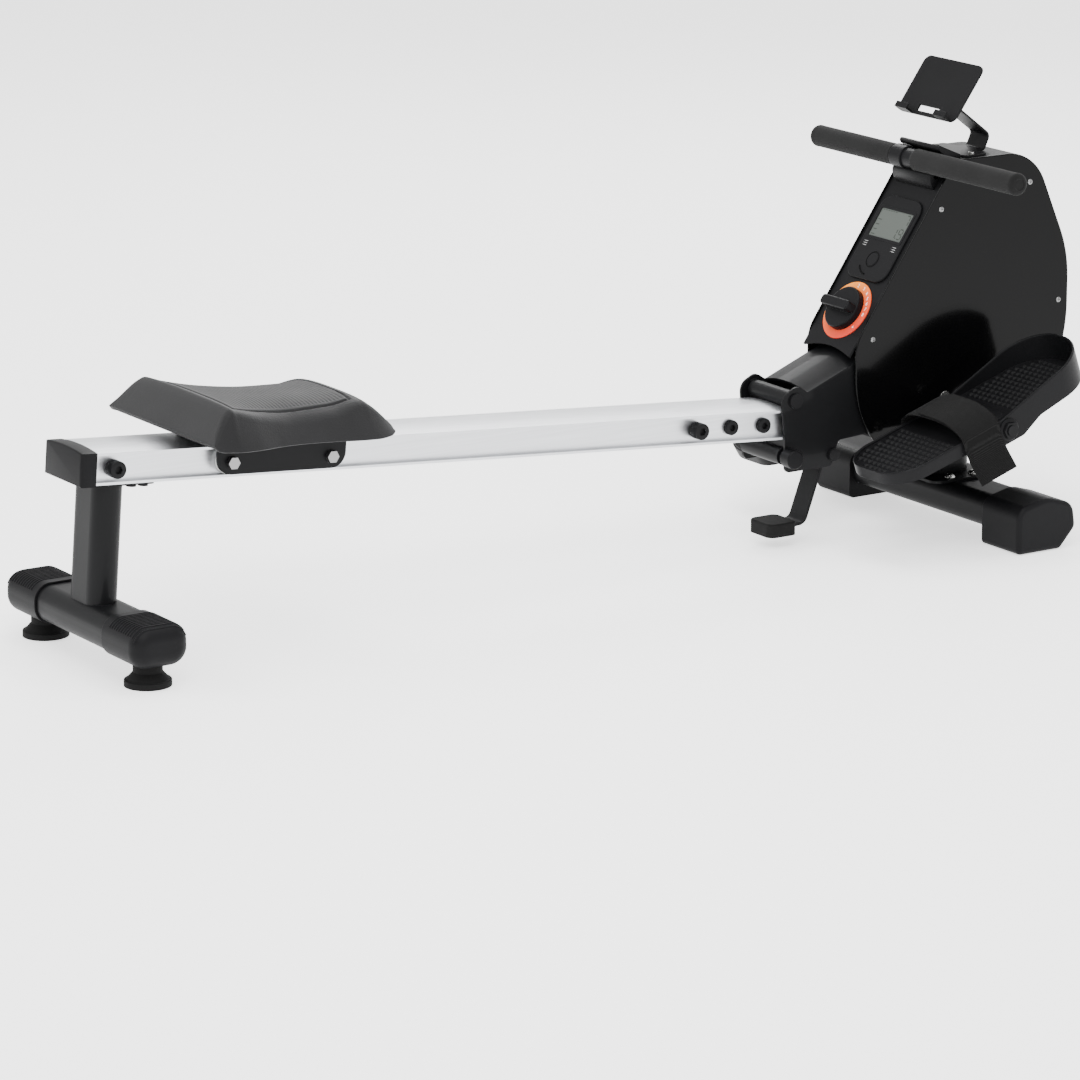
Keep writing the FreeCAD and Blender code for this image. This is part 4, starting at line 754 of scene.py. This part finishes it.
# ---------------------------------------------------------------- handle
def grips(paints):
    """Foam sleeves with a rounded outer end, their skin a little uneven along the bar."""
    lead = 2.2 * MM
    round_end = 7 * MM
    dent = 0.8 * MM
    steps = 60
    for name in ("grip_left", "grip_right"):
        low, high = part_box(name)
        middle = (low + high) / 2
        radius = (high.z - low.z) / 2
        length = high.y - low.y
        outward = 1 if middle.y > 0 else -1
        inner = low.y if outward > 0 else high.y
        profile = [(0.0, 0.0), (0.0, radius - lead), (0.7 * MM, radius - 0.8 * MM), (lead, radius)]
        for k in range(1, steps):
            along = lead + (length - round_end - lead) * k / steps
            swell = 0.07 * MM * math.sin(k * 2.4) * math.sin(k * 0.37)
            profile.append((along, radius - 0.25 * MM + swell))
        for k in range(9):
            angle = math.radians(90 * k / 8)
            profile.append((length - round_end * (1 - math.sin(angle)),
                            radius - round_end * (1 - math.cos(angle))))
        profile.append((length, radius - round_end - 1.0 * MM))
        profile.append((length - dent, radius - round_end - 1.6 * MM))
        profile.append((length - dent, 0.0))
        made = lathe("foam_" + name, profile, Vector((middle.x, inner, middle.z)), (0, outward, 0), 56)
        settle(made, "handle", "grip_foam", paints["grip_foam"], name)


def ribbon(name, path, across, width, thick):
    """Flat woven tape along a path; across is the direction of its width."""
    across = Vector(across).normalized()
    half = width / 2
    thin = thick / 2 * 0.4
    columns = 10
    rings = []
    count = len(path)
    for i, p in enumerate(path):
        p = Vector(p)
        before = Vector(path[max(i - 1, 0)])
        after = Vector(path[min(i + 1, count - 1)])
        along = (after - before).normalized()
        up = across.cross(along).normalized()
        ring = []
        for face in (1, -1):
            for k in range(columns + 1):
                s = face * (-1 + 2 * k / columns)
                lift = thick / 2 if abs(s) < 1 else thin
                ring.append(p + across * (s * half) + up * (face * lift))
        rings.append(ring)
    return smooth_by_angle(loft(name, rings), 40.0)


def arc(centre, radius, start, stop, count):
    """Points on an arc from start to stop, in degrees."""
    points = []
    for k in range(count + 1):
        angle = math.radians(start + (stop - start) * k / count)
        points.append((centre[0] + radius * math.cos(angle), centre[1] + radius * math.sin(angle)))
    return points


def dense(points, step):
    """The same line with points no more than step apart."""
    out = [points[0]]
    for a, b in zip(points[:-1], points[1:]):
        a = Vector(a)
        b = Vector(b)
        count = max(1, int((b - a).length / step))
        for k in range(1, count + 1):
            out.append(a + (b - a) * (k / count))
    return [Vector(p) for p in out]


def smoothed(points):
    """Corner-cut line with the same ends."""
    for _ in range(3):
        out = [points[0]]
        for a, b in zip(points[:-1], points[1:]):
            out.append(a + (b - a) * 0.25)
            out.append(a + (b - a) * 0.75)
        out.append(points[-1])
        points = out
    return points


def pull_strap(paints):
    """Woven pull strap: from the handle's middle over the guide and down to its drum."""
    low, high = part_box("pull_strap")
    guide = Vector((0.634334, 0.0, 0.526))
    drum = Vector((0.677334, 0.0, 0.450))
    turn = 10.3 * MM
    reach = 33.3 * MM
    width, thick = 25 * MM, 2 * MM
    start = Vector((low.x + 0.3 * MM, 0.0, high.z - thick / 2))
    leave = math.radians(90)
    down = drum - guide
    between = math.atan2(down.z, down.x)
    offset = math.acos((turn - reach) / down.length)
    side = between + offset if math.cos(between + offset) > 0 else between - offset
    path = [start]
    for k in range(13):
        angle = leave + (side - leave) * k / 12
        path.append(guide + Vector((math.cos(angle), 0, math.sin(angle))) * turn)
    path.append(drum + Vector((math.cos(side), 0, math.sin(side))) * reach)
    made = ribbon("pull_tape", dense(path, 2 * MM), ACROSS, width, thick)
    made.data.materials.append(paints["webbing"])
    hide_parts("pull_strap")
    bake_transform(made)


# ---------------------------------------------------------------- pedals
def pedal_sizes(inset):
    """Half width, toe, toe round, heel and heel round of the footrest, drawn in by inset."""
    return (PEDAL_HALF - inset, PEDAL_TOE - inset, PEDAL_TOE_ROUND - inset,
            PEDAL_HEEL + inset, PEDAL_HEEL_ROUND - inset)


def inside_pedal(u, y, inset):
    """How far a point lies inside the footrest's outline drawn in by inset (negative outside)."""
    half, toe, toe_round, heel, heel_round = pedal_sizes(inset)
    best = min(toe - u, u - heel, half - abs(y))
    for corner, radius, sign in ((toe - toe_round, toe_round, 1), (heel + heel_round, heel_round, -1)):
        over = sign * (u - corner)
        past = abs(y) - (half - radius)
        if over > 0 and past > 0:
            best = min(best, radius - math.hypot(over, past))
    return best


def pedal_outline(inset, count=24):
    """Plan outline (u, y) of the footrest, y measured from its own middle."""
    half, toe, toe_round, heel, heel_round = pedal_sizes(inset)
    points = []
    for u, y, radius, start in ((toe - toe_round, half - toe_round, toe_round, 0),
                                (heel + heel_round, half - heel_round, heel_round, 90),
                                (heel + heel_round, -half + heel_round, heel_round, 180),
                                (toe - toe_round, -half + toe_round, toe_round, 270)):
        points += arc((u, y), radius, start, start + 90, count)
    return points


def tread(side):
    """Moulded grip of small blunt pyramids on the toe and heel of a footrest."""
    bm = bmesh.new()
    pitch = 11.0
    foot = 5.1
    tip = 1.6
    peak = PEDAL_FLOOR + 2.8
    wall = 4.0
    for low, high in ((34.0, 165.0), (-192.0, -88.0)):  # toe, heel
        rows = int((high - low) / pitch)
        for i in range(rows + 1):
            for j in range(-7, 8):
                u = low + i * pitch
                y = j * pitch + (pitch / 2 if i % 2 else 0)
                if inside_pedal(u, y, wall) < foot:
                    continue
                base = []
                top = []
                middle = PEDAL_CENTRE + y
                for a, b in CORNERS:
                    low_point = pedal_at(side, u + a * foot, middle + b * foot, PEDAL_FLOOR)
                    base.append(bm.verts.new(low_point))
                    top.append(bm.verts.new(pedal_at(side, u + a * tip, middle + b * tip, peak)))
                for k in range(4):
                    bm.faces.new((base[k], base[(k + 1) % 4], top[(k + 1) % 4], top[k]))
                bm.faces.new(top)
                bm.faces.new(base[::-1])
    bmesh.ops.recalc_face_normals(bm, faces=bm.faces)
    return bm_object("tread", bm)


def rim(side, node):
    """Rounded bead along the top edge of the footrest's wall."""
    surface = BVHTree.FromPolygons([v.co for v in nodes[node].data.vertices],
                                   [p.vertices for p in nodes[node].data.polygons])
    down = (pedal_at(side, 0, 0, 0) - pedal_at(side, 0, 0, 1)).normalized()
    above = 120.0
    sunk = 0.4 * MM
    bead = 2.1 * MM
    inset = 2.0
    path = []
    corners = [Vector((u, y, 0)) for u, y in pedal_outline(inset)]
    for u, y, _ in dense(corners + corners[:1], 4.0)[:-1]:
        hit = surface.ray_cast(pedal_at(side, u, PEDAL_CENTRE + y, above), down)[0]
        if hit:
            path.append(hit - down * sunk)
    return tube("rim", path, bead, cyclic=True, sides=4)


def footrest(side, name, paints):
    """Details of one footrest: tread, rim, middle panel with rings, axle boss and strap nuts."""
    node = "pedal_" + name
    panel_u = -6.0
    panel_top = 16.0
    ring_radius, ring_bead = 7, 0.9 * MM
    moulded = [tread(side), rim(side, node)]
    pads = []
    for radius_u, radius_y, low, high in ((27.0, 58.0, PEDAL_FLOOR, 15.2), (22.5, 53.0, 15.0, panel_top)):
        rings = []
        for share, w in ((1.0, low), (1.0, high - 0.5), (0.97, high), (0.0, high)):
            ring = []
            for c, s in circle(max(share, 0.01), 64):
                squared = (abs(c) ** 4 + abs(s) ** 4) ** -0.25 * max(share, 0.01)
                ring.append(pedal_at(side, panel_u + radius_u * c * squared,
                                     PEDAL_CENTRE + radius_y * s * squared, w))
            rings.append(ring)
        pads.append(loft("pad", rings))
    for y in (-38, 38, 0, -19, 19):
        ring = [pedal_at(side, panel_u + a, PEDAL_CENTRE + y + b, panel_top + 0.1)
                for a, b in circle(ring_radius, 28)]
        pads.append(tube("ring", ring, ring_bead, cyclic=True))
    made = smooth_by_angle(joined("footrest_mould_" + name, moulded + pads), 38)
    settle(made, node, "pedal_plastic", paints["pedal_plastic"])
    profile = [(0.0, 17 * MM), (2.4 * MM, 17 * MM), (4.2 * MM, 14.5 * MM), (4.2 * MM, 13.4 * MM)]
    boss = lathe("footrest_boss_" + name, profile,
                 pedal_at(side, 0, PEDAL_CENTRE + PEDAL_HALF - 0.1, 0), (0, side, 0), 40)
    settle(boss, node, "pedal_plastic", paints["pedal_plastic"])
    inward = Vector((0, -side, 0))
    washer = [(0.0, 8.5 * MM), (1.2 * MM, 8.5 * MM), (1.5 * MM, 8.0 * MM), (1.5 * MM, 0.0)]
    nuts = []
    for number, (u, w) in enumerate(((-87.0, 4.0), (2.0, 22.0))):
        place = pedal_at(side, u, PEDAL_CENTRE - PEDAL_HALF, w)
        nuts.append(lathe(f"washer_{number}", washer, place, inward, 32))
        nuts.append(hex_nut(f"nut_{number}", place + inward * 1.4 * MM, inward, 6.6 * MM, 5 * MM, 2.8 * MM))
    settle(joined("strap_nuts_" + name, nuts), node, "zinc_steel", paints["zinc_steel"])


def foot_strap(side, name, paints):
    """Hook and loop strap: an under layer over the foot, and an upper one whose end hangs free."""
    u = -48.0
    edge = 73.8
    under_width, under_thick = 68 * MM, 2.4 * MM
    upper_width, upper_thick = 66 * MM, 2.2 * MM
    arch = [(-edge, 4.0), (-edge, 26.0), (-edge + 33, 42.0), (edge - 33, 42.0), (edge, 26.0), (edge, 4.0)]

    def at(points, spread=0.0):
        return [pedal_at(side, u + spread * k, PEDAL_CENTRE + y, w) for k, (y, w) in enumerate(points)]

    direction = pedal_at(side, 1, 0, 0) - pedal_at(side, 0, 0, 0)
    under = ribbon("under", dense(smoothed(at(arch)), 3 * MM), direction, under_width, under_thick)
    upper_line = [(-24.0, 45.4), (-6.0, 45.6), (edge - 34, 45.2), (edge + 2.9, 27.0), (edge + 3.0, 6.0),
                  (edge + 5.5, -6.0), (edge + 11.0, -20.0), (edge + 19.0, -34.0), (edge + 25.0, -45.0)]
    upper = ribbon("upper", dense(smoothed(at(upper_line, -0.6)), 3 * MM), direction, upper_width,
                   upper_thick)
    made = smooth_by_angle(joined("foot_strap_" + name, [under, upper]), 40)
    settle(made, "pedal_" + name, "webbing", paints["webbing"], "pedal_strap_" + name)


# ---------------------------------------------------------------- console
SEGMENTS = {"7": "abc", "1": "bc", "9": "abcdfg"}


def digit(symbol, x, y, height):
    """Seven-segment digit as flat polygons around its lower left corner."""
    width = height * 0.52
    thick = height * 0.11
    half = height / 2
    strokes = {"a": (0, height, width), "g": (0, half, width), "d": (0, 0, width),
               "f": (0, half, 0), "b": (width, half, 0), "c": (width, 0, 0)}
    gap = thick * 0.35
    point = thick / 2
    shapes = []
    for letter in SEGMENTS[symbol]:
        x0, y0, wide = strokes[letter]
        length = wide or half
        stops = (gap, gap + point, length - gap - point, length - gap, length - gap - point, gap + point)
        sides = (0, point, point, 0, -point, -point)
        if wide:
            shapes.append([(x + x0 + a, y + y0 + b) for a, b in zip(stops, sides)])
        else:
            shapes.append([(x + x0 + b, y + y0 + a) for a, b in zip(stops, sides)])
    return shapes


def printed(name, shapes, u, w, thick=0.06):
    """Thin printed shapes on the console: outlines in mm, x to the right and y up the slope."""
    bm = bmesh.new()
    place = console_frame(u, 0, w)
    for outline in shapes:
        low = [bm.verts.new(place @ Vector((x * MM, y * MM, 0))) for x, y in outline]
        high = [bm.verts.new(place @ Vector((x * MM, y * MM, thick * MM))) for x, y in outline]
        bm.faces.new(high)
        bm.faces.new(low[::-1])
        for k in range(len(outline)):
            m = (k + 1) % len(outline)
            bm.faces.new((low[k], low[m], high[m], high[k]))
    bmesh.ops.recalc_face_normals(bm, faces=bm.faces)
    return bm_object(name, bm)


def numeral(symbol, angle, radius, size, surface):
    """Dial number standing upright at its place, as a thin raised print."""
    curve = bpy.data.curves.new("numeral", "FONT")
    curve.body = symbol
    curve.size = size * MM
    curve.align_x = "CENTER"
    curve.align_y = "CENTER"
    curve.extrude = 0.05 * MM
    obj = linked("numeral", curve)
    turn = math.radians(angle)
    obj.matrix_world = console_frame(DIAL_U + radius * math.cos(turn), -radius * math.sin(turn), surface)
    return baked(obj)


def dial(paints):
    """Numbers round the dial, and the white pointer on its knob."""
    marks = []
    surface, radius, size = -0.85, 40.0, 7.6
    knob_top = 11.2
    places = {"1": -45, "2": -2, "3": 20, "4": 38, "5": 52, "6": 65, "7": 78, "8": 91, "+": 125}
    for symbol, angle in places.items():
        marks.append(numeral(symbol, angle, radius, size, surface))
    settle(joined("dial_numbers", marks), "frame", None, paints["print_white"])
    pointer = printed("pointer", [rounded_rectangle(-31.0, -24.5, -1.0, 1.0, 0.9)], DIAL_U, knob_top, 0.08)
    settle(pointer, "knob", None, paints["print_white"])


def monitor(paints):
    """Display digits and marks, its bezel, the small prints, and dark beads of painted shade in the gap
    round the button and in the sound slot.
    """
    face = monitor_face()
    glass = 0.45
    shapes = []
    height = 16.0
    shapes += digit("7", 25.0, 4.0, height)
    shapes += digit("1", 11.5, -19.0, height)
    shapes += digit("9", 25.0, -19.0, height)
    shapes.append(rounded_rectangle(21.6, 23.4, -19.0, -17.2, 0.4))
    for k in range(6):
        shapes.append(rounded_rectangle(-35 + 6.0 * k, -31 + 6.0 * k, 20.4, 21.3, 0.3))
    for k in range(4):
        shapes.append(rounded_rectangle(-35, -27, -20.0 + 8.0 * k, -18.6 + 8.0 * k, 0.3))
    settle(printed("lcd_marks", shapes, LCD_U, glass), "frame", None, paints["lcd_ink"])
    outer = rounded_rectangle(-42.5 * MM, 42.5 * MM, -27.5 * MM, 27.5 * MM, 4 * MM)
    inner = rounded_rectangle(-38.0 * MM, 38.0 * MM, -23.0 * MM, 23.0 * MM, 1.5 * MM)
    bezel = plate("lcd_bezel", outer, [inner], 0.5 * MM, 0.1 * MM, console_frame(LCD_U, 0, face + 0.1))
    settle(bezel, "frame", "console_plastic", paints["console_plastic"])
    prints = []
    for side in (-1, 1):
        for k in range(3):
            x = side * 34.0
            low = -33.0 - 3.4 * k
            for left, right in ((x - 3.6, x + 3.6), (x - 5.6, x - 4.8)):
                prints.append(rounded_rectangle(left, right, low, low + 0.8, 0.3))
    settle(printed("monitor_marks", prints, LCD_U, face), "frame", None, paints["print_grey"])
    middle = console_frame(BUTTON_U, 0, face)
    # painted shade: near-black beads laid in the gap round the button and along the sound slot, where the
    # grooves' shade falls
    ring = [middle @ Vector((x, y, 0)) for x, y in circle(12.6 * MM, 40)]
    slot_line = [middle @ Vector((x, y, 0)) for x, y in arc((0, 0), 25 * MM, 214, 266, 16)]
    gap_shades = [tube("button_gap_shade", ring, 0.55 * MM, cyclic=True), tube("sound_slot_shade", slot_line, 1.3 * MM)]
    settle(joined("monitor_gap_shade", gap_shades), "frame", None, paints["gap_shadow"])


def monitor_face():
    """How far the monitor's face stands out of the console line, in mm."""
    mesh = nodes["monitor_body"].data
    return max((vertex.co - CONSOLE).dot(OUTWARD) for vertex in mesh.vertices) / MM + 0.02


def apron(paints):
    """The console's lower edge, arched over the neck's cover."""
    half = 56.5
    foot, rise = -32.0, 9.0
    outline = []
    for k in range(41):
        x = -half + 2 * half * k / 40
        outline.append((x * MM, (foot + rise * math.cos(x / half * math.pi / 2)) * MM))
    outline += [(half * MM, 2.0 * MM), (-half * MM, 2.0 * MM)]
    made = plate("console_apron", outline, [], 3.0 * MM, 0.6 * MM, console_frame(0, 0, -4.5))
    settle(made, "frame", "console_plastic", paints["console_plastic"])


def cap_ribs(node, body, ends, paints):
    """Moulded ribs over the top of the end caps, laid on the caps' own surface."""
    mesh = nodes[node].data
    surface = BVHTree.FromPolygons([v.co for v in mesh.vertices], [p.vertices for p in mesh.polygons])
    low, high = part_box(node)
    ribs, steps = 12, 24
    margin, reach_down = 4 * MM, 26 * MM
    bead, sunk = 1.5 * MM, 0.4 * MM
    beads = []
    for side in (-1, 1):
        for k in range(ribs):
            y = side * (ends[0] + (ends[1] - ends[0]) * k / (ribs - 1)) * MM
            path = []
            for step in range(steps + 1):
                x = low.x + margin + (high.x - low.x - 2 * margin) * step / steps
                hit = surface.ray_cast(Vector((x, y, high.z + 0.05)), -UP)[0]
                if hit and hit.z > high.z - reach_down:
                    path.append(hit - UP * sunk)
            if len(path) > 4:
                beads.append(tube("rib", path, bead, sides=2))
    if beads:
        settle(joined(node + "_ribs", beads), body, "cap_plastic", paints["cap_plastic"])


def cradle(paints):
    """Rest for the handlebar: a thin upturned lip below, a higher one above, a slotted plate between.

    Profiles are (u, w) on the console, in mm."""
    def bar(profile, left, right):
        soft = 0.8
        middle_u = sum(p[0] for p in profile) / len(profile)
        middle_w = sum(p[1] for p in profile) / len(profile)
        rings = []
        for y, shrink in ((left, soft), (left + soft, 0.0), (right - soft, 0.0), (right, soft)):
            ring = []
            for u, w in profile:
                away = Vector((u - middle_u, w - middle_w))
                away = away * (1 - shrink / max(away.length, 3.0))
                ring.append(console_at(middle_u + away.x, y, middle_w + away.y))
            rings.append(ring)
        return loft("bar", rings)

    low_lip = [(246, -3), (247, 2), (250, 7), (255, 12.5), (259, 15.0), (262.5, 15.2), (264.5, 13.5),
               (263.5, 10), (261, 6.5), (260, 3), (263, 0.4), (283, 0), (283, -3)]
    high_lip = [(293, -3), (293, 0), (296.6, 0), (297.2, 12), (297.6, 22), (299, 25.6), (301.5, 27),
                (304.3, 26), (305.6, 24), (309, 6), (313, -13.6), (309, -16.5), (295, -3.2)]
    pieces = [bar(low_lip, -46, 46), bar(high_lip, -48, 48)]
    for left, right in ((-48, -14), (14, 48)):
        pieces.append(bar([(282, -3), (282, -0.1), (294, -0.1), (294, -3)], left, right))
    made = smooth_by_angle(joined("bar_cradle", pieces), 45)
    settle(made, "frame", "housing_plastic", paints["housing_plastic"], "handle_cradle")


def rail_cap(paints):
    """Moulded end cap that follows the rail's crowned outline, with a softened outer rim."""
    flank, shoulder, crown = 49.8, 43.2, 3.4

    def ring(x, grow):
        half = flank + grow
        edge = shoulder + grow * 0.5
        points = [rail_at(x, half, -grow), rail_at(x, half, edge)]
        for k in range(1, 16):
            share = 1 - 2 * k / 16
            points.append(rail_at(x, half * share, edge + crown * (1 - share * share)))
        points += [rail_at(x, -half, edge), rail_at(x, -half, -grow)]
        return points

    rings = []
    for x, grow in ((-1126.0, 0.0), (-1126.0, 1.2), (-1127.0, 1.6), (-1146.5, 1.6), (-1148.4, 1.1),
                    (-1149.6, 0.0), (-1150.0, -1.6)):
        rings.append(ring(x, grow))
    made = smooth_by_angle(loft("rail_cap", rings), 40)
    settle(made, "rail", "cap_plastic", paints["cap_plastic"], "rail_end_cap")


# ---------------------------------------------------------------- main
def main():
    paints = finishes()
    dress(paints)
    camera()
    floor()
    lights()
    cushion = seat()
    settle(cushion, "seat", "seat_foam", paints["seat_foam"], "seat_pad")
    grips(paints)
    pull_strap(paints)
    for side, name in ((-1, "right"), (1, "left")):
        footrest(side, name, paints)
        foot_strap(side, name, paints)
    dial(paints)
    monitor(paints)
    cover_screws(paints)
    apron(paints)
    rail_cap(paints)
    cradle(paints)
    cap_ribs("rear_end_caps", "rail", (112.0, 180.0), paints)
    rail_stops(paints)


main()
